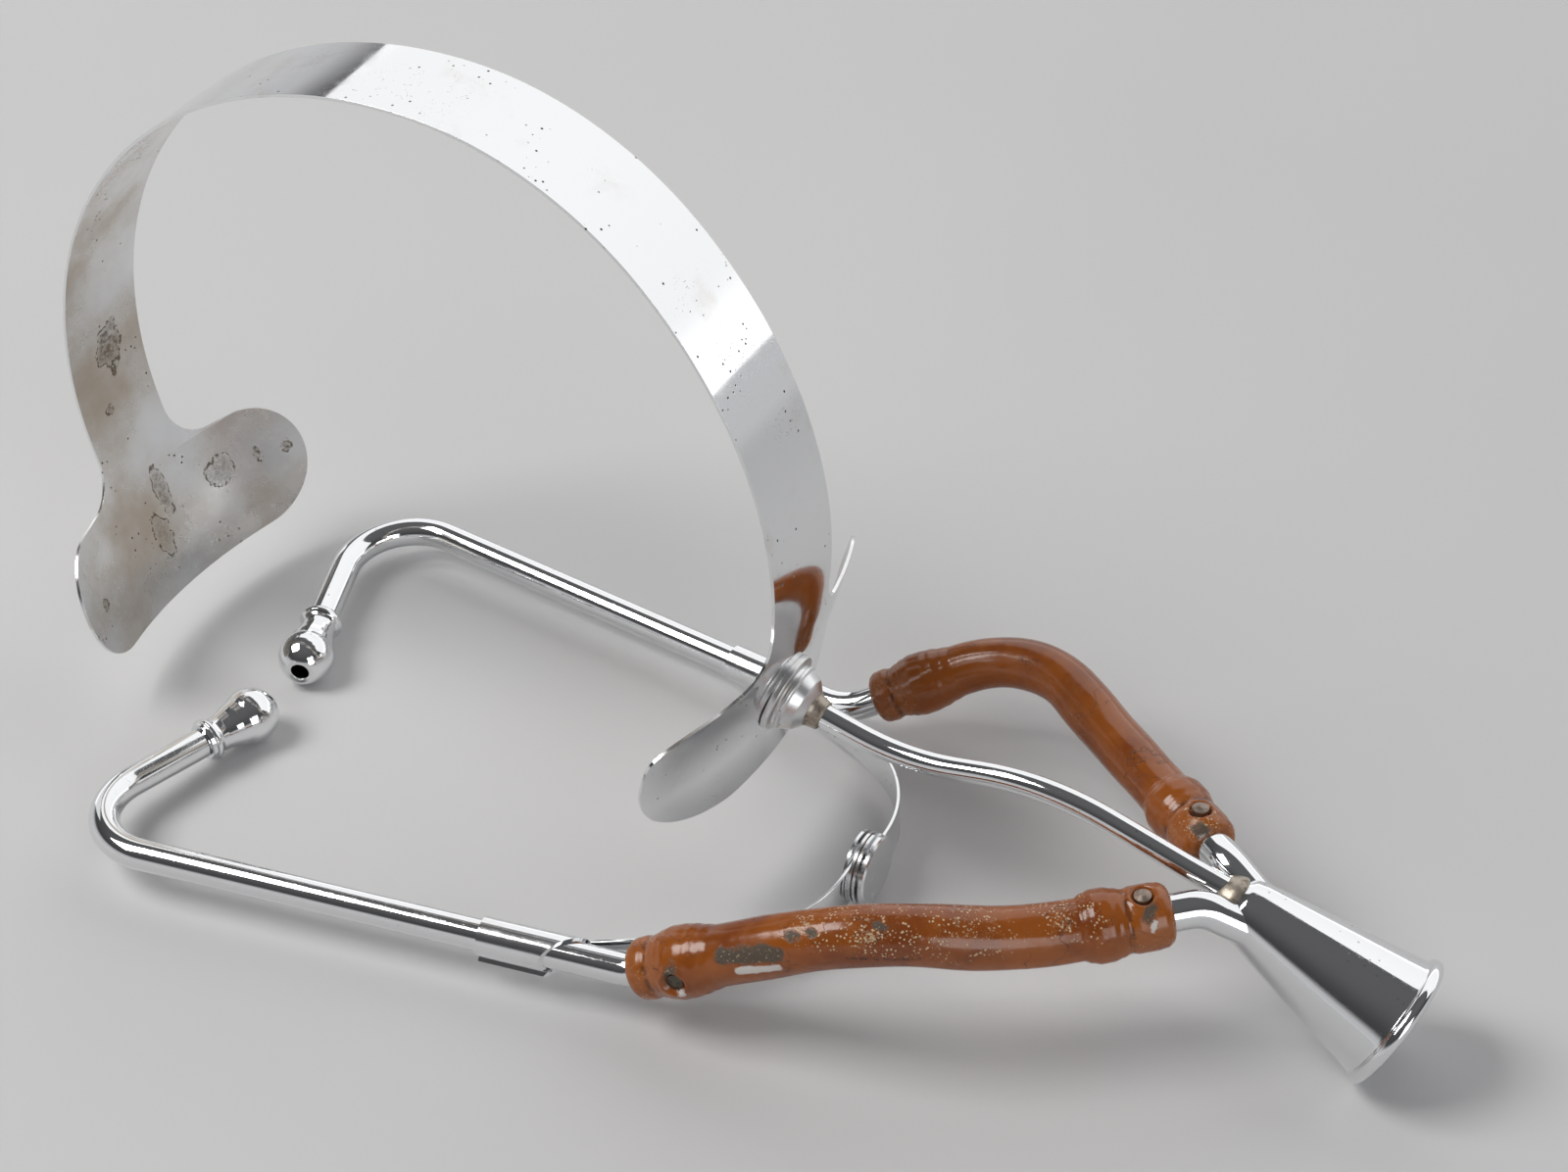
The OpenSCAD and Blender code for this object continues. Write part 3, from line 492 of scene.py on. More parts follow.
def red_rubber(name, worn, grooves, blooms, crusts, whites, slits=(), smears=()):
    """Aged glossy rubber: worn ends, pale bloom specks in drifts, grey and white crusts.

    Each list holds spots, as [centre, radius, stretch], but grooves, where dirt gathers,
    are [centre, direction of the hose], and smears are [first end, last end, half width],
    a grey one and a white one."""
    s = Shader(name)
    broad = s.noise(0.05, 4.0, offset=1.0)
    s.colour = s.mixed(s.between(broad, 0.40, 0.66), RUBBER, RUBBER_DARK)
    mottle = s.patches(0.35, 6.0, 6.0, 0.45, 0.75)
    s.coat(mottle, RUBBER_WORN, 0.22)
    ends = gathered(s, worn, 0.30, 0.5)
    rubbed = s.times(ends, s.patches(0.40, 6.0, 9.0, 0.40, 0.62))
    s.coat(rubbed, RUBBER_WORN, 0.65)

    drift = gathered(s, blooms, 0.35, 0.75)
    grains = s.noise(2.0, 5.0, 0.72, offset=5.0)
    clumps = s.noise(0.28, 5.0, 0.62, offset=15.0)
    crowd = s.plus(grains, s.times(clumps, 0.55), s.times(drift, 0.16))
    dots = s.times(s.between(s.cells(1.25), 0.34, 0.25), s.patches(0.45, 4.0, 16.0, 0.46, 0.52))
    pale = s.times(s.most(s.between(crowd, 1.0, 1.04), dots), s.between(drift, 0.05, 0.5))
    scattered = s.times(s.between(s.plus(grains, s.times(clumps, 0.4)), 0.93, 0.96), 0.8)
    edge_wear = s.times(ends, s.between(s.plus(grains, s.times(clumps, 0.5)), 0.86, 0.92))
    pale = s.most(pale, scattered, s.times(edge_wear, 0.75))
    s.coat(pale, BLOOM, 0.85)

    broken = s.between(s.plus(s.noise(0.8, 6.0, 0.7, offset=8.0), s.times(clumps, 0.3)),
                       0.50, 0.60)
    crust = s.times(gathered(s, crusts, 0.70, 0.35), broken)
    white = s.times(gathered(s, whites, 0.75, 0.25), s.patches(0.9, 5.0, 17.0, 0.40, 0.46))
    if smears:
        grey_smear, white_smear = smears
        patchy = s.patches(2.2, 6.0, 27.0, 0.24, 0.40, 0.7)
        crust = s.most(crust, s.times(s.streak(*grey_smear), patchy))
        white = s.most(white, s.streak(*white_smear))
    s.coat(crust, GREY_CRUST, 0.92)
    speckled = s.times(crust, s.between(grains, 0.58, 0.64))
    s.coat(speckled, BLOOM, 0.8)
    s.coat(white, WHITE_CRUST, 0.9)

    wander = s.maths("ABSOLUTE", s.maths("SUBTRACT", s.noise(0.10, 5.0, offset=11.0), 0.5))
    lines = s.times(s.between(wander, 0.0035, 0.001), s.patches(0.06, 2.0, 12.0, 0.50, 0.58))
    slit = s.times(gathered(s, slits, 0.9, 0.3), s.patches(1.2, 4.0, 19.0, 0.46, 0.52))
    cracks = s.most(lines, slit)
    dirt = s.patches(0.5, 5.0, 23.0, 0.40, 0.60)
    for centre, direction in grooves:
        s.coat(s.times(s.slab(centre, direction, 0.9), dirt), RUBBER_CRACK, 0.7)
    s.coat(cracks, RUBBER_CRACK, 0.85)

    roughness = s.plus(0.15, s.times(mottle, 0.08), s.times(pale, 0.40),
                       s.times(crust, 0.45), s.times(white, 0.4), s.times(rubbed, 0.16))
    reliefs = ((broad, 0.18), (s.noise(0.30, 3.0, offset=13.0), 0.07), (pale, 0.03),
               (crust, -0.06), (white, 0.05), (cracks, -0.10),
               (s.noise(3.0, 3.0, offset=14.0), 0.004))
    for value, height in reliefs:
        s.raise_by(value, height)
    return s.finish(roughness)


# Head band: a chain of arcs in the plane y = 0, with a plate across each end.

FOOT = (9.5, 45.0, 73.2)
RUN = (250.0, 5.3)
BAND_ARCS = ((99.2, 60.3), (78.0, 42.0), (102.5, 60.0), (94.3, 49.7))
BAND_WIDTH = 24.0
SHEET = 0.7
EDGE_BEVEL = 0.2
BROW_REACH = 45.0
BROW_LOBE = 36.5
BROW_TOP = 12.5
BROW_FLARE = 50.0
BROW_CURVE = 110.0
BROW_WIDEST = 1.5
FLARE_START = -9.5
NAPE_REACH = 42.5
NAPE_LOBE = 31.0
NAPE_TOP = 6.0
NAPE_CURVE = 85.0
CORNER_RADIUS = 10.0
FADE = 34.0
BROW_SPAN = 0.972
BROW_LOW = 0.985
CORNER_GAP = 0.4
CORNER_CLEAR = 2.0
BROW_ROWS = 40
CORNER_ROWS = 12
ARCH_ROWS = 220
NAPE_ROWS = 36
BAND_COLUMNS = 36

run_arc = (RUN[0], math.degrees(RUN[1] / RUN[0]))
band_chain = (run_arc,) + BAND_ARCS
arch_length = sum(radius * math.radians(turn) for radius, turn in band_chain)
nape_edge = arch_length + NAPE_TOP


def step_on(station, d, radius=None):
    """The station a distance further on, straight ahead or round an arc."""
    x, z, heading = station
    a = math.radians(heading)
    if radius is None:
        return (x + d * math.cos(a), z + d * math.sin(a), heading)
    b = a + d / radius
    return (x + radius * (math.sin(b) - math.sin(a)),
            z - radius * (math.cos(b) - math.cos(a)), math.degrees(b))


def station(d):
    """[x, z, heading] at a distance along the band from its foot."""
    if d < FLARE_START:
        return step_on(step_on(FOOT, FLARE_START), d - FLARE_START, -BROW_FLARE)
    here = FOOT
    if d < 0:
        return step_on(here, d)
    for radius, turn in band_chain:
        length = radius * math.radians(turn)
        if d <= length:
            return step_on(here, d, radius)
        here = step_on(here, length, radius)
        d -= length
    return step_on(here, d)


def brow_half(d):
    """Half width of the forehead plate at a distance above the foot."""
    if d > BROW_WIDEST:
        share = (d - BROW_WIDEST) / (BROW_TOP - BROW_WIDEST)
        power = 3.5
    else:
        share = (BROW_WIDEST - d) / (BROW_LOBE - BROW_TOP + BROW_WIDEST)
        power = 2.5
    return BROW_REACH * (1 - share ** power) ** (1 / power)


def nape_half(d):
    """Half width of the plate behind the head, below its lobes' top edge."""
    radius = NAPE_LOBE / 2
    return NAPE_REACH - radius + math.sqrt(max(0.0, radius ** 2 - (d - radius) ** 2))


def plate_curve(d):
    """Sideways curve of the sheet, one over its radius."""
    brow = max(0.0, 1 - max(0.0, d - BROW_TOP) / FADE)
    nape = max(0.0, 1 - max(0.0, nape_edge - d) / FADE)
    return brow ** 2 / BROW_CURVE + nape ** 2 / NAPE_CURVE


def band_rows():
    """[distance, half width] of each row of the sheet."""
    rows = []
    for share in shares(BROW_ROWS):
        slow = 0.5 - math.cos(math.pi * share) / 2
        d = BROW_TOP + BROW_LOBE * (BROW_SPAN * slow - BROW_LOW)
        rows.append((d, brow_half(d)))
    corner_rows = []
    for share in shares(CORNER_ROWS):
        turn = math.pi / 2 * share
        corner_rows.append((CORNER_GAP + CORNER_RADIUS * (1 - math.sin(turn)),
                            BAND_WIDTH / 2 + CORNER_RADIUS * (1 - math.cos(turn))))
    rows += [(BROW_TOP + d, half) for d, half in reversed(corner_rows)]
    start = BROW_TOP + CORNER_RADIUS + CORNER_CLEAR
    end = nape_edge - CORNER_RADIUS - CORNER_CLEAR
    rows += [(start + (end - start) * share, BAND_WIDTH / 2) for share in shares(ARCH_ROWS)]
    rows += [(nape_edge - d, half) for d, half in corner_rows]
    for share in shares(NAPE_ROWS):
        d = NAPE_LOBE * (0.5 - math.cos(math.pi * share) / 2)
        rows.append((nape_edge + d, nape_half(d)))
    return rows


def sheet_place(d, v):
    """Point of the sheet's mid surface at a distance along it and across it."""
    x, z, heading = station(d)
    curve = plate_curve(d)
    lean = v * curve
    fall = (1 - math.cos(lean)) / curve if curve > 0 else 0.0
    y = math.sin(lean) / curve if curve > 0 else v
    out_x = math.sin(math.radians(heading))
    out_z = -math.cos(math.radians(heading))
    return Vector((x - fall * out_x, y, z - fall * out_z))


def add_band(plate):
    rows = band_rows()
    points = [sheet_place(d, half * (2 * share - 1))
              for d, half in rows for share in shares(BAND_COLUMNS)]
    faces = grid_faces(len(rows), BAND_COLUMNS + 1)
    band = add_object("band_sheet", points, faces, sharp=180.0)
    thick = band.modifiers.new("thickness", "SOLIDIFY")
    thick.thickness = SHEET * MM
    thick.offset = 0.0
    thick.use_even_offset = True
    edge = band.modifiers.new("edge", "BEVEL")
    edge.width = EDGE_BEVEL * MM
    edge.segments = 2
    edge.limit_method = "ANGLE"
    edge.angle_limit = math.radians(50)
    edge.harden_normals = True
    settle(band, plate, "frame", "head_band")


# Boss, stem, bell and branches.

FLANGE_DIAMETER = 18.5
FLANGE_THICKNESS = 1.3
CONE_DIAMETER = 14.6
CONE_LENGTH = 4.6
COLLAR_DIAMETER = 7.6
COLLAR_LENGTH = 2.4
BOSS_GAP = SHEET / 2 + 0.15
BOSS_DROP = 1.6
BOSS_GROOVE = 0.9
RING_WIDTH = 1.1
RING_HEIGHT = 0.5
STEM_DIAMETER = 5.2
RIM_RADIUS = 13.7
BEAD_RADIUS = 1.6
RIM_X = 151.0
BELL_DIP = math.radians(25)
BELL_LENGTH = 36.0
NECK_RADIUS = 7.2
BELL_WALL = 1.3
NECK_END = BELL_LENGTH + 5
BRANCH_DIAMETER = 8.0
BORE = 5.0
BRANCH_SPLAY = math.radians(37)
BRANCH_DROP = math.radians(6)
BRANCH_MOUTH = Vector((105.4, 10.8, 32.3))
BRANCH_NIPPLE = 15.0
BRANCH_BEND = 8.0
BRANCH_STRAIGHT = 6.5
BRANCH_ASIDE = 3.2
BARB_HALF = 2.6
BARB_BELL = 11.8
BARB_EAR = 5.5
SWELL = 1.0

foot_turn = math.radians(FOOT[2])
boss_dir = Vector((math.sin(foot_turn), 0, -math.cos(foot_turn)))
boss_foot = Vector((FOOT[0], 0, FOOT[1])) - BOSS_DROP * Vector((math.cos(foot_turn), 0,
                                                                math.sin(foot_turn)))
bell_dir = Vector((math.cos(BELL_DIP), 0, -math.sin(BELL_DIP)))
rim_centre = Vector((RIM_X, 0, RIM_RADIUS * math.cos(BELL_DIP) + BEAD_RADIUS))
branch_dir = unit((-math.cos(BRANCH_SPLAY) * math.cos(BRANCH_DROP),
                   math.sin(BRANCH_SPLAY) * math.cos(BRANCH_DROP),
                   -math.sin(BRANCH_DROP)))


def bell_point(k):
    return rim_centre - k * bell_dir


def flip(p, side):
    return Vector((p[0], side * p[1], p[2]))


def barb(d):
    """Profile of a nipple's barb at a distance: [distance, growth of the radius]."""
    shares = (-1, -0.54, 0, 0.54, 1)
    growths = (0, 0.6, 1, 0.6, 0)
    return [(d + BARB_HALF * a, SWELL * b) for a, b in zip(shares, growths)]


def add_boss(plate, joint):
    r = FLANGE_DIAMETER / 2
    cone = CONE_DIAMETER / 2
    nose = COLLAR_DIAMETER / 2
    lip = FLANGE_THICKNESS
    top = lip + BOSS_GROOVE + RING_WIDTH
    tip = top + CONE_LENGTH
    origin = boss_foot + boss_dir * BOSS_GAP
    body = [(-0.35, 0), (-0.35, r - 0.1), (lip - 0.2, r), (lip, r - 0.3), (lip, cone),
            (lip + BOSS_GROOVE, cone - 0.2), (lip + BOSS_GROOVE, cone + RING_HEIGHT),
            (top - 0.4, cone + RING_HEIGHT), (top, cone),
            (top + CONE_LENGTH * 0.5, (cone + nose + 0.7) / 2 + 0.3),
            (top + CONE_LENGTH * 0.85, nose + 0.4), (top + CONE_LENGTH * 0.87, 0)]
    settle(turned("boss_body", origin, boss_dir, body, 0.25), plate, "frame",
           "forehead_boss")
    collar = [(top + CONE_LENGTH * 0.6, 0), (top + CONE_LENGTH * 0.6, nose + 0.6),
              (top + CONE_LENGTH * 0.85, nose + 0.35), (tip, nose),
              (tip + COLLAR_LENGTH, nose - 0.5), (tip + COLLAR_LENGTH, 0)]
    settle(turned("boss_solder", origin, boss_dir, collar, 0.5), joint, "frame")


stem_points = (boss_foot + 7 * boss_dir, (39.3, 0, 36.2), (72, 0, 44.1), (103.7, 0, 35.5),
               bell_point(BELL_LENGTH - 2) + Vector((0, 0, 3)))
stem_bends = (0, 50, 59, 40, 0)


def add_stem(plate):
    path = Path(bent_points(stem_points, stem_bends))
    r = STEM_DIAMETER / 2
    profile = [(0, 0)] + [(path.length * share, r) for share in shares(round(path.length))]
    stem = tube("stem_rod", path, profile + [(path.length, 0)], closed=False)
    settle(stem, plate, "frame", "stem")


def add_bell(plate, joint):
    bead = [(BEAD_RADIUS * math.sin(a), RIM_RADIUS + BEAD_RADIUS * math.cos(a))
            for a in (math.radians(k) for k in range(-90, 81, 10))]
    inner = RIM_RADIUS - BELL_WALL
    outside = bead + [(BEAD_RADIUS + 0.4, RIM_RADIUS + 0.1), (4.0, RIM_RADIUS - 0.3),
                      (BELL_LENGTH, NECK_RADIUS), (BELL_LENGTH + 2.6, NECK_RADIUS - 0.9),
                      (NECK_END - 0.6, NECK_RADIUS - 2.6), (NECK_END, 0)]
    inside = [(BELL_LENGTH - 1, 0), (BELL_LENGTH - 1, 2.4),
              (BELL_LENGTH - 4, NECK_RADIUS - BELL_WALL), (0.4, inner),
              (-BEAD_RADIUS, inner + 0.1)]
    bell = turned("bell_cone", rim_centre, -bell_dir, outside + inside, 0.4, 96, closed=True)
    settle(bell, plate, "frame", "bell")
    crotch = bell_point(NECK_END - 1.2)
    fillet = [(0, 0), (0, 5.6), (1.8, 5.2), (4.2, 3.4), (5.2, 0)]
    settle(turned("crotch_solder", crotch, -bell_dir, fillet, 1.0, 48), joint, "frame")


def add_branch(side, plate):
    start = BRANCH_MOUTH + BRANCH_NIPPLE * branch_dir
    turn = BRANCH_MOUTH - BRANCH_STRAIGHT * branch_dir
    end = bell_point(BELL_LENGTH - 3) + Vector((0, BRANCH_ASIDE, 0))
    points = [flip(p, side) for p in (start, turn, end)]
    path = Path(bent_points(points, (0, BRANCH_BEND, 0)))
    r = BRANCH_DIAMETER / 2
    outside = [(0, r)] + [(d, r + g) for d, g in barb(BRANCH_NIPPLE - BARB_BELL)]
    steps = round(path.length)
    outside += [(d, r) for d in range(round(BRANCH_NIPPLE), steps)]
    outside += [(path.length, r), (path.length, BORE / 2)]
    inside = [(d, BORE / 2) for d in range(steps - 1, 0, -1)]
    name = SIDE_NAME[side]
    branch = tube("branch_tube_" + name, path, outside + inside + [(0, BORE / 2)])
    settle(branch, plate, "frame", "branch_" + name)


# The ear tubes and their spring stand in a frame of their own, turned a little.

PAIR_X = 36.0
PAIR_Y = -10.4
PAIR_TURN = math.radians(3.3)
TUBE_DIAMETER = 7.0
EAR_BEND = 16.0
FRONT_BEND = {NEAR: 6.0, FAR: 15.0}
TUBE_HEIGHT = 9.6
TUBE_ROLL = 1.4
FRONT_MID = -30.45
FRONT_SHIFT = 1.95
CORNER_S = -170.1
CORNER_V = 67.2
TUBE_SLOPE = 0.1385
SPIGOT = 6.0
SPIGOT_DIAMETER = 5.8
TIP_S = -153.5
TIP_V = 11.6
TIP_BORE = 4.4
TIP_LENGTH = 14.3
TIP_GAP = 0.3
TIP_DIAMETER = 13.2
TIP_FLANGE = 10.4
EAR_NIPPLE = 15.5
HOSE_AFTER_BEND = {NEAR: 1.9, FAR: 8.0}
RISE = {NEAR: unit((1, 0.2, 0.5)), FAR: unit((1, 0.5, 0.5))}


def pair_dir(v):
    return Matrix.Rotation(PAIR_TURN, 3, "Z") @ Vector(v)


def from_pair(p):
    return Vector((PAIR_X, PAIR_Y, 0)) + pair_dir(p)


def front_s(side):
    return FRONT_MID + side * FRONT_SHIFT


def tube_z(side):
    return TUBE_HEIGHT - side * TUBE_ROLL


def tube_line(s):
    return CORNER_V - (s - CORNER_S) * TUBE_SLOPE


def front(side):
    return Vector((front_s(side), side * tube_line(front_s(side)), tube_z(side)))


def corner(side):
    return Vector((CORNER_S, side * CORNER_V, tube_z(side)))


def tip_centre(side):
    return Vector((TIP_S, side * TIP_V, TIP_DIAMETER / 2))


def tip_dir(side):
    return unit(tip_centre(side) - corner(side))


def spigot_start(side):
    return tip_centre(side) - TIP_LENGTH * tip_dir(side)


def ear_hose_start(side):
    return front(side) + HOSE_AFTER_BEND[side] * RISE[side]


def add_ear_tube(side, plate):
    start = ear_hose_start(side) + EAR_NIPPLE * RISE[side]
    end = spigot_start(side) + SPIGOT * tip_dir(side)
    points = [from_pair(p) for p in (start, front(side), corner(side), end)]
    path = Path(bent_points(points, (0, FRONT_BEND[side], EAR_BEND, 0)))
    r = TUBE_DIAMETER / 2
    shoulder = path.length - SPIGOT
    outside = [(0, r)] + [(d, r + g) for d, g in barb(EAR_NIPPLE - BARB_EAR)]
    first = EAR_NIPPLE - BARB_EAR + 3
    outside += [(first + (shoulder - 0.3 - first) * share, r)
                for share in shares(round(shoulder - first))]
    outside += [(shoulder, r - 0.3), (shoulder, SPIGOT_DIAMETER / 2),
                (path.length, SPIGOT_DIAMETER / 2), (path.length, TIP_BORE / 2)]
    inside = [(d, TIP_BORE / 2) for d in range(round(shoulder), 0, -1)]
    name = SIDE_NAME[side]
    piece = tube("ear_tube_bent_" + name, path, outside + inside + [(0, TIP_BORE / 2)])
    settle(piece, plate, "ear_side_" + name, "ear_tube_" + name)


def add_ear_tip(side, plate):
    """A pear shaped tip with a flange at the tube and a bore that flares at its mouth."""
    r = TIP_DIAMETER / 2
    ball = TIP_LENGTH - TIP_GAP
    origin = from_pair(spigot_start(side) + TIP_GAP * tip_dir(side))
    flange = TIP_FLANGE / 2
    socket = SPIGOT_DIAMETER / 2 + 0.05
    neck = [(0, socket), (0, 4.3), (0.9, 4.6), (1.1, flange - 0.1),
            (1.6, flange), (2.1, flange - 0.1), (2.5, 4.5), (3.4, 4.1), (5.0, 4.25),
            (7.2, 4.75), (8.8, 5.25)]
    mouth = math.asin((TIP_BORE / 2 + 1.2) / r)
    begin = math.acos((ball - 10.6) / r)
    turns = [begin + (math.pi - begin - mouth) * share for share in shares(16)]
    globe = [(ball + r * math.cos(math.pi - a), r * math.sin(a)) for a in turns]
    bore = [(ball + r * 0.80, TIP_BORE / 2), (SPIGOT + 1.5, TIP_BORE / 2),
            (SPIGOT + 1.4, socket)]
    name = SIDE_NAME[side]
    tip = turned("ear_tip_ball_" + name, origin, pair_dir(tip_dir(side)),
                 neck + globe + bore, 0.12, 64, closed=True, sharp=32.0)
    settle(tip, plate, "tip_" + name, "ear_tip_" + name)


# Hoses: straight over each nipple, with two wide bends between and a swollen collar at
# each end. A bend holds the corners' distances from the ear end and the bell end, and
# the two radii.

HOSE_DIAMETER = {NEAR: 12.9, FAR: 11.8}
HOSE_BORE = 6.6
HOSE_BEND = {NEAR: (53.7, 32.2, 43.8, 81.5), FAR: (39.2, 46.4, 28.0, 60.2)}
EAR_COLLAR = ((0, -1.4), (0.7, -0.3), (1.6, 0.1), (3.6, 0.25), (5.2, -0.15), (7, 0.4),
              (8.5, 0.9), (10.5, 1.3), (13, 1.25), (15.5, 0.95), (18, 0.4), (20.5, 0))
BELL_COLLAR = ((0, -1.4), (0.7, -0.3), (1.8, 0.25), (4, 0.5), (7.5, 0.5), (9.2, 0.15),
               (11, 0.7), (13, 1.2), (15.5, 1.25), (17.5, 0.7), (19, 0))
FAR_HOSE_SPLIT = 0.62
STIFF_NEAR = 24
STIFF_FAR_BELL = 19
STIFF_FAR_EAR = 17
STUD_BACK_BELL = 5.5
STUD_BACK_EAR = 11.5
STUD_HOLE = 2.1
DIMPLE_REACH = 1.6
DIMPLE_DEPTH = 1.6
DIMPLE_LIP = 0.25
HOSE_STEP = 0.45
HOSE_SIDES = 112


def hose_path(side):
    ear = from_pair(ear_hose_start(side))
    bell_end = flip(BRANCH_MOUTH, side)
    ear_out, bell_out, ear_radius, bell_radius = HOSE_BEND[side]
    points = (ear, ear + ear_out * pair_dir(RISE[side]),
              bell_end + bell_out * flip(branch_dir, side), bell_end)
    return Path(bent_points(points, (0, ear_radius, bell_radius, 0)))


def hose_outside(side, length):
    """Outer radius at a distance from the ear end."""
    base = HOSE_DIAMETER[side] / 2

    def radius(d):
        ear = smooth_between(EAR_COLLAR, d)
        bell = smooth_between(BELL_COLLAR, length - d)
        # The wall of an old moulded hose isn't quite even: two slow waves along its middle.
        sag = 0.12 * math.sin(d * 0.11 + side) + 0.07 * math.sin(d * 0.31 + 2 * side)
        middle = min(1.0, max(0.0, min(d, length - d) / 20 - 0.6))
        return base + ear + bell + sag * middle
    return radius


def square_to(v, axis):
    v = Vector(v)
    return unit(v - axis * v.dot(axis))


def stud_places(side):
    """[place on the tube's axis, direction] of the bell stud and of the ear stud."""
    bell_axis = flip(branch_dir, side)
    bell_stud = flip(BRANCH_MOUTH, side) + STUD_BACK_BELL * bell_axis
    ear_stud = from_pair(ear_hose_start(side) + STUD_BACK_EAR * RISE[side])
    ear_out = pair_dir(square_to((0, side, 0), RISE[side]))
    return ((bell_stud, square_to((0, 0, 1), bell_axis)), (ear_stud, unit(ear_out)))


def sink_studs(obj, studs, outer):
    """Presses a dimple into the hose round each stud, so that the stud sits in a hole."""
    for vertex in obj.data.vertices:
        for place, direction in studs:
            away = vertex.co / MM - place
            height = away.dot(direction)
            if height < outer * 0.5:
                continue
            sideways = (away - direction * height).length
            if sideways < STUD_HOLE + DIMPLE_REACH:
                depth = 1 - max(0.0, min(1.0, (sideways - STUD_HOLE + 0.5) / 1.2))
                lip = math.exp(-((sideways - STUD_HOLE - 0.8) / 0.6) ** 2)
                vertex.co += direction * MM * (DIMPLE_LIP * lip - DIMPLE_DEPTH * depth)


def add_hose_part(name, side, path, start, end, material):
    """The hose between two distances, its wall closed at both of them."""
    radius = hose_outside(side, path.length)
    inner = HOSE_BORE / 2
    places = [start + (end - start) * share
              for share in shares(round((end - start) / HOSE_STEP))]
    outside = [(d, radius(d)) for d in places]
    inside = [(d, inner) for d in reversed(places)]
    hose = tube(name, path, outside + inside, HOSE_SIDES, sharp=60.0)
    sink_studs(hose, stud_places(side), HOSE_DIAMETER[side] / 2)
    hose.data.materials.append(material)
    return hose


def add_hoses(materials):
    near = hose_path(NEAR)
    hose = add_hose_part("hose_tube_near", NEAR, near, 0, near.length, materials[NEAR])
    near.at(near.length - STIFF_NEAR)[0] * MM
    near.at(STIFF_NEAR)[0] * MM
    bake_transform(hose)
    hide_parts("hose_near")
    far = hose_path(FAR)
    middle = far.length * FAR_HOSE_SPLIT
    front_part = add_hose_part("hose_tube_far_bell", FAR, far, middle, far.length,
                               materials[FAR])
    back_part = add_hose_part("hose_tube_far_ear", FAR, far, 0, middle, materials[FAR])
    joint_place = far.at(middle)[0]
    far.at(far.length - STIFF_FAR_BELL)[0] * MM
    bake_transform(front_part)
    far.at(STIFF_FAR_EAR)[0] * MM
    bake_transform(back_part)
    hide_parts("hose_far")


# Leaf springs: a strip on edge from the hinge to a split sleeve on the ear tube.

LEAF_THICKNESS = 0.8
LEAF_WIDTH = 10.0
LEAF_FIRST = {NEAR: (11.3, 73.8), FAR: (9.7, 66.2)}
LEAF_MID_HEADING = 38.0
SLEEVE_LENGTH = 19.0
SLEEVE_MID = -43.7
SLEEVE_SHIFT = 3.0
SLEEVE_GAP = 0.02
SLEEVE_SLANT = math.radians(46)
SLIT_TURN = math.radians(50)
SLIT_HALF = 0.5
LIP_BEND = 0.5
LIP_STEPS = 5
WRAP_STEPS = 60
HUB_S = -1.9
WASHER_HALF = 0.2
DISC_THICKNESS = 0.65
HUB = WASHER_HALF + DISC_THICKNESS + LEAF_THICKNESS / 2
HINGE_OFFSET = 2.4
HINGE_HEIGHT = 9.0
STRIP_SHARE = 0.94
FIRST_STEPS = 20
SECOND_STEPS = 36
STRAIGHT_ROWS = 8
ROUND_ROWS = 9
BENDS_HUB = 6.0


def arc_from(place, radius, turn_from, turn_to, steps):
    """[s, v, heading] along an arc that turns from one heading to another."""
    s, v = place
    line = []
    for share in shares(steps):
        h = turn_from + (turn_to - turn_from) * share
        line.append((s + radius * (math.sin(h) - math.sin(turn_from)),
                     v - radius * (math.cos(turn_from) - math.cos(h)), h))
    return line


def strip_line(side):
    """Mid line of a strip from its sleeve to the hinge: [s, v, heading] on the far side."""
    first_heading, first_radius = LEAF_FIRST[side]
    s = SLEEVE_MID + side * SLEEVE_SHIFT
    v = tube_line(s) - TUBE_DIAMETER / 2 - LEAF_THICKNESS
    plane = HUB_S + side * HUB
    start = math.radians(first_heading)
    middle = math.radians(LEAF_MID_HEADING)
    first = arc_from((s, v), first_radius, start, middle, FIRST_STEPS)
    second_radius = (plane - first[-1][0]) / (1 - math.sin(middle))
    second = arc_from(first[-1][:2], second_radius, middle, math.pi / 2, SECOND_STEPS)
    return [(s - 2 * math.cos(start), v + 2 * math.sin(start), start)] + first + second[1:]


def strip_mesh(side):
    """Points and faces of the strip and of its round end at the hinge."""
    line = strip_line(side)
    end_v = side * HINGE_OFFSET
    widths = [smooth_between(((0, 0.5), (9, 1.0)), i) for i in range(len(line))]
    s_end, v_end, h_end = line[-1]
    reach = LEAF_WIDTH / 2
    for share in shares(STRAIGHT_ROWS)[1:]:
        line.append((s_end, v_end + (end_v - v_end) * share, h_end))
        widths.append(1.0)
    for i in range(1, ROUND_ROWS + 1):
        a = math.pi / 2 * i / (ROUND_ROWS + 0.3)
        line.append((s_end, end_v - reach * math.sin(a), h_end))
        widths.append(math.cos(a))
    t = LEAF_THICKNESS / 2
    section = rounded([(t, -reach), (t, reach), (-t, reach), (-t, -reach)], 0.22)
    points = []
    for (s, v, heading), width in zip(line, widths):
        for across, height in section:
            z = HINGE_HEIGHT + height * width
            out = across * STRIP_SHARE
            place = Vector((s + out * math.sin(heading), v + out * math.cos(heading), z))
            points.append(from_pair(flip(place, side)))
    n = len(section)
    faces = grid_faces(len(line), n, wrap_columns=True)
    for first in (0, (len(line) - 1) * n):
        faces.append(tuple(range(first, first + n)))
    return points, faces


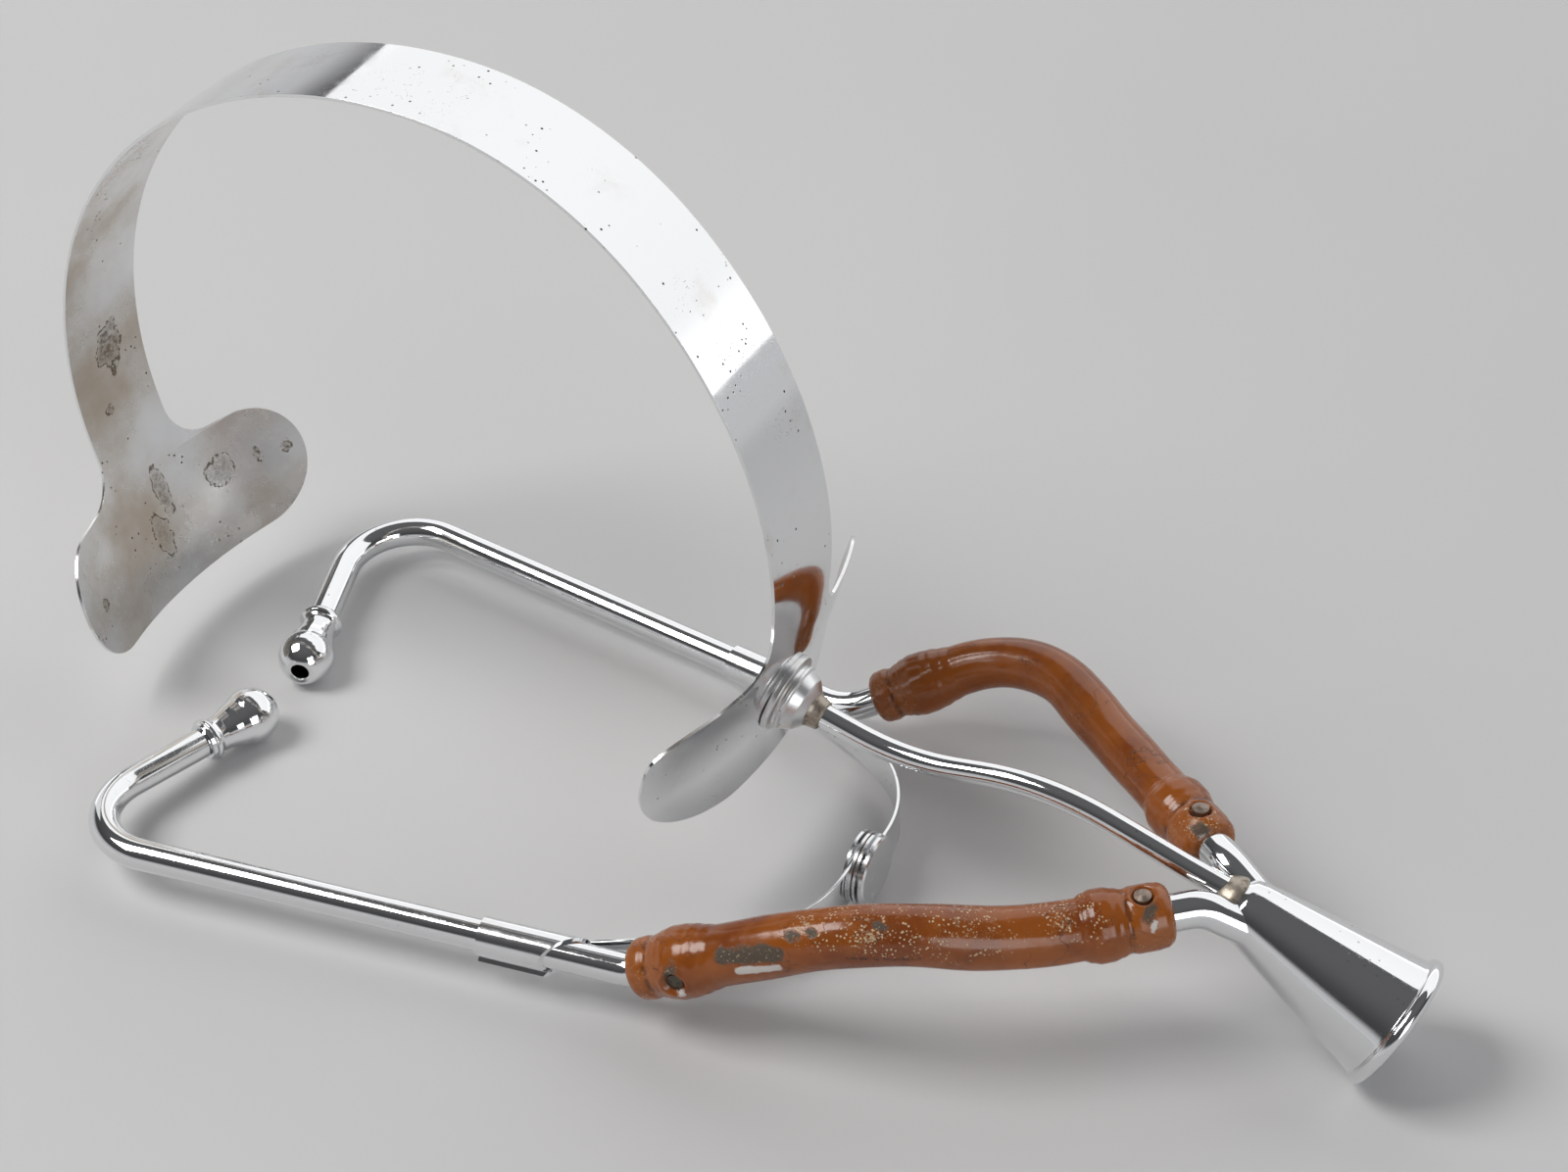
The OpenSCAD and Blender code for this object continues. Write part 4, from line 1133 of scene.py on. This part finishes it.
def sleeve_mesh(side):
    """Points and faces of the split sleeve: a wrapped sheet with a lip along its slit."""
    r = TUBE_DIAMETER / 2 + SLEEVE_GAP + LEAF_THICKNESS / 2
    slit = SLIT_HALF / r
    low = -math.pi / 2 + SLIT_TURN
    turns = [low + slit + (2 * math.pi - 2 * slit) * share for share in shares(WRAP_STEPS)]
    middle = [(r * math.cos(a), r * math.sin(a), math.cos(a), math.sin(a)) for a in turns]
    end = turns[-1]
    for share in shares(LIP_STEPS)[1:]:
        turn = math.pi / 2 * share
        y = (r + LIP_BEND) * math.cos(end) - LIP_BEND * math.cos(end + turn)
        z = (r + LIP_BEND) * math.sin(end) - LIP_BEND * math.sin(end + turn)
        middle.append((y, z, math.cos(end + turn), math.sin(end + turn)))
    y, z, ny, nz = middle[-1]
    middle.append((y + math.cos(end), z + math.sin(end), ny, nz))
    t = LEAF_THICKNESS / 2
    origin_s = SLEEVE_MID + side * SLEEVE_SHIFT
    origin = Vector((origin_s, tube_line(origin_s), tube_z(side)))
    lean = Matrix.Rotation(-math.atan(TUBE_SLOPE), 3, "Z")
    loop = [(y + t * ny, z + t * nz) for y, z, ny, nz in middle]
    loop += [(y - t * ny, z - t * nz) for y, z, ny, nz in reversed(middle)]
    steps = 14
    points = []
    for y, z in loop:
        front_x = -y * math.tan(SLEEVE_SLANT) - 0.4
        for share in shares(steps):
            x = -SLEEVE_LENGTH + (front_x + SLEEVE_LENGTH) * share
            points.append(from_pair(flip(origin + lean @ Vector((x, y, z)), side)))
    n = len(loop)
    wide = steps + 1
    faces = grid_faces(n, wide, wrap_rows=True)
    for i in range(n // 2 - 1):
        a = n - 1 - i
        b = n - 2 - i
        for k in (0, steps):
            faces.append((i * wide + k, (i + 1) * wide + k, b * wide + k, a * wide + k))
    return points, faces


def add_leaf(side, plate):
    points, faces = strip_mesh(side)
    more, wrap = sleeve_mesh(side)
    offset = len(points)
    faces += [tuple(i + offset for i in face) for face in wrap]
    name = SIDE_NAME[side]
    leaf = add_object("leaf_spring_" + name, points + more, faces, sharp=45.0,
                      close_up=0.002)
    leaf.data.materials.append(plate)
    s, v, _ = strip_line(side)[2]
    outer_end = from_pair((s, side * v, HINGE_HEIGHT))
    hub = from_pair((HUB_S, side * BENDS_HUB, HINGE_HEIGHT))
    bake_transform(leaf)
    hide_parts("leaf_" + name)


# Small CAD pieces keep their shape and get a better finish.

def dress(node, material):
    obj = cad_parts[node]
    obj.data.materials.clear()
    obj.data.materials.append(material)


# Floor and light.

FLOOR_SIZE = 12.0
FLOOR_LIT = 500.0
FLOOR_FAR = 1300.0
PALE = 0.60
SKY_LEVELS = ((0.0, PALE), (0.12, 0.55), (0.34, 0.06), (1.0, 0.12))
LIGHTS_MEET = Vector((0.0, 0.0, 0.06))


def fade_far_floor(s):
    """Beyond the lamps' reach, straight, mirrored and clear views see a pale floor."""
    far = s.between(s.vector("LENGTH", s.place), FLOOR_LIT, FLOOR_FAR)
    rays = s.add("ShaderNodeLightPath").outputs
    seen = s.most(rays["Is Camera Ray"], rays["Is Glossy Ray"], rays["Is Transmission Ray"])
    glow = s.add("ShaderNodeEmission")
    glow.inputs["Color"].default_value = (PALE, PALE, PALE, 1.0)
    both = s.add("ShaderNodeMixShader")
    s.join(s.times(far, seen), both.inputs[0])
    s.join(s.surface.outputs[0], both.inputs[1])
    s.join(glow.outputs[0], both.inputs[2])
    s.join(both.outputs[0], s.tree.nodes["Material Output"].inputs["Surface"])


def add_floor():
    s = Shader("floor_paper")
    s.colour = s.mixed(s.noise(0.004, 2.0), (0.60, 0.60, 0.61), (0.65, 0.65, 0.65))
    s.raise_by(s.noise(0.8, 4.0), 0.02)
    material = s.finish(0.75)
    fade_far_floor(s)
    half = FLOOR_SIZE / 2 / MM
    corners = [(-half, -half, 0), (half, -half, 0), (half, half, 0), (-half, half, 0)]
    floor = add_object("floor", corners, [(0, 1, 2, 3)])
    floor.data.materials.append(material)


def add_world():
    """A studio: pale at the horizon, darker overhead, so that the chrome has contrast."""
    world = bpy.data.worlds.new("studio")
    world.use_nodes = True
    tree = world.node_tree
    background = tree.nodes["Background"]
    coordinates = tree.nodes.new("ShaderNodeTexCoord")
    split = tree.nodes.new("ShaderNodeSeparateXYZ")
    ramp = tree.nodes.new("ShaderNodeValToRGB")
    tree.links.new(coordinates.outputs["Generated"], split.inputs[0])
    tree.links.new(split.outputs["Z"], ramp.inputs["Fac"])
    tree.links.new(ramp.outputs["Color"], background.inputs["Color"])
    ramp.color_ramp.interpolation = "EASE"
    for position, _ in SKY_LEVELS[1:-1]:
        ramp.color_ramp.elements.new(position)
    for element, (_, level) in zip(ramp.color_ramp.elements, SKY_LEVELS):
        element.color = (level, level, level * 1.02, 1.0)
    background.inputs["Strength"].default_value = 1.0
    bpy.context.scene.world = world


def add_panel(name, place, width, height, brightness, tint=(1, 1, 1)):
    """A soft light panel that looks as bright as a colour of that value."""
    data = bpy.data.lights.new(name, "AREA")
    data.shape = "RECTANGLE"
    data.size = width
    data.size_y = height
    data.energy = brightness * math.pi * width * height
    data.color = tint
    lamp = put(name, data)
    lamp.location = place
    aim = LIGHTS_MEET - Vector(place)
    lamp.rotation_euler = aim.to_track_quat("-Z", "Y").to_euler()


def add_lights():
    add_panel("panel_back", (0.12, 1.25, 0.92), 3.45, 1.5, 1.05)
    add_panel("panel_side", (-1.70, 0.75, 0.60), 0.6, 1.0, 0.75)
    add_panel("panel_key", (-0.75, -0.45, 1.15), 0.7, 0.7, 8.3, (1.0, 0.985, 0.96))
    add_panel("panel_fill", (1.15, -0.75, 0.55), 0.6, 0.8, 3.0, (0.96, 0.98, 1.0))


# The object.

# Stains on the band as the photograph shows them: [place, radius, stretch, strength].
BAND_STAINS = (((-171.7, 1.0, 73.5), 4.6, (1, 1, 1.5), 0.75),
               ((-170.8, -3.5, 58.4), 1.3, (1, 1, 1), 0.8),
               ((-154.1, 36.5, 27.7), 1.5, (1, 1, 1), 0.95),
               ((-157.5, 29.5, 28.6), 1.6, (1, 0.8, 1.3), 0.9),
               ((-155.7, -31.2, 25.0), 1.5, (1, 1, 1), 0.7),
               ((-164.4, 1.9, 33.4), 5.0, (1, 0.5, 1.6), 0.55),
               ((-160.9, 19.2, 29.1), 4.5, (1, 1.1, 0.9), 0.5),
               ((-161.2, -3.0, 24.5), 5.0, (1, 0.6, 1.3), 0.35))
# Places where the plating is thickly pitted: [place, radius, stretch].
BAND_DRIFTS = (((1.0, -1.8, 127.5), 10.0, (1, 1, 1.3)), ((8.5, 4.1, 112.0), 8.0, (1, 1.2, 1)),
               ((-8.9, -3.1, 141.4), 8.0, (1.2, 1.2, 1)), ((-69.7, -1.6, 170.0), 11.0, (1.6, 1, 1)),
               ((-161.0, -2.0, 27.0), 10.0, (1, 1.2, 1)))

add_camera()
band_plate = chrome("band_chrome", pitting=1.0, haze=0.06, tarnish=0.22,
                    stains=BAND_STAINS, drifts=BAND_DRIFTS, dull_side=True)
tube_plate = chrome("tube_chrome", pitting=0.35, haze=0.05, tarnish=0.12)
bell_plate = chrome("bell_chrome", pitting=0.45, haze=0.05, tarnish=0.18)
boss_plate = chrome("boss_satin", pitting=0.6, haze=0.30, tarnish=0.55)
hinge_plate = chrome("hinge_nickel", pitting=0.5, haze=0.22, tarnish=0.70)
leaf_plate = chrome("leaf_chrome", pitting=0.4, haze=0.12, tarnish=0.25)
solder_metal = solder("solder_brown", (0.42, 0.37, 0.31), (0.11, 0.075, 0.05))
dull_metal = solder("dull_metal_worn", (0.30, 0.24, 0.20), (0.075, 0.05, 0.035))
dirty_metal = solder("dirty_metal", (0.12, 0.10, 0.08), (0.05, 0.04, 0.03))

# Marks on the hoses, as the photograph shows them: [place, radius, stretch], and for the
# smears [first end, last end, half width].
NEAR_BLOOMS = (((58, -48, 37.5), 9.0, (1.8, 1.2, 0.8)), ((73, -39, 36.5), 11.0, (1.8, 1.2, 0.8)),
               ((89, -25, 36), 8.0, (1.6, 1.1, 0.8)), ((46, -53, 35.5), 6.0, (1.6, 1, 0.8)))
NEAR_SMEARS = (((28.5, -60.0, 26.2), (40.5, -57.4, 30.2), 2.3),
               ((33.0, -60.4, 24.3), (41.0, -58.2, 27.4), 1.25))
NEAR_CRUSTS = (((42.5, -54.8, 34.2), 1.6, (1.5, 1, 1)), ((46.0, -53.2, 35.5), 1.3, (1.5, 1, 1)),
               ((19.0, -63.8, 19.2), 3.0, (0.8, 1, 1.4)), ((58.3, -47.5, 38.4), 1.2, (2, 1, 1)),
               ((103.4, -17.2, 37.0), 2.6, (0.7, 1.1, 1.2)))
NEAR_WHITES = (((21.4, -64.0, 15.4), 1.1, (1.1, 1, 1.4)), ((105, -18.5, 35.4), 1.3, (0.6, 1, 1.5)))
NEAR_SLITS = (((60.4, -50.6, 32.6), 1.0, (14, 8, 0.5)),)
FAR_BLOOMS = (((101.0, 12.0, 38.0), 7.0, (1, 1, 0.8)), ((80, 27, 42), 7.0, (1.4, 1.2, 0.6)))
FAR_CRUSTS = (((103.0, 9.2, 37.3), 2.6, (1.3, 1.0, 0.8)), ((60, 41, 39), 2.2, (1.6, 1.3, 0.7)))
FAR_WHITES = (((104.3, 8.2, 36.6), 1.6, (1.4, 0.8, 0.8)),)
marks = {NEAR: (NEAR_BLOOMS, NEAR_CRUSTS, NEAR_WHITES, NEAR_SLITS, NEAR_SMEARS),
         FAR: (FAR_BLOOMS, FAR_CRUSTS, FAR_WHITES)}
WORN_INSET = 4.0
WORN_REACH = 11.0
GROOVE_EAR = 5.2
GROOVE_BELL = 9.2
hose_rubber = {}
for hose_side in (NEAR, FAR):
    hose_line = hose_path(hose_side)
    worn_ends = [(hose_line.at(d)[0], WORN_REACH, (1, 1, 1))
                 for d in (WORN_INSET, hose_line.length - WORN_INSET)]
    grooves = [hose_line.at(d)[:2] for d in (GROOVE_EAR, hose_line.length - GROOVE_BELL)]
    hose_rubber[hose_side] = red_rubber("rubber_" + SIDE_NAME[hose_side], worn_ends, grooves,
                                        *marks[hose_side])

add_band(band_plate)
add_boss(boss_plate, solder_metal)
add_stem(tube_plate)
add_bell(bell_plate, solder_metal)
for body_side in (NEAR, FAR):
    add_branch(body_side, tube_plate)
    add_ear_tube(body_side, tube_plate)
    add_ear_tip(body_side, tube_plate)
    add_leaf(body_side, leaf_plate)
add_hoses(hose_rubber)
for plated in ("disc_near", "disc_far", "hinge_cap", "hinge_rivet"):
    dress(plated, hinge_plate)
for dulled in ("boss_washer", "boss_rivet_pin", "hinge_washer", "stud_bell_near",
               "stud_bell_far", "stud_ear_far"):
    dress(dulled, dull_metal)
dress("stud_ear_near", dirty_metal)

add_floor()
add_world()
add_lights()
bpy.context.scene.view_settings.view_transform = "Standard"
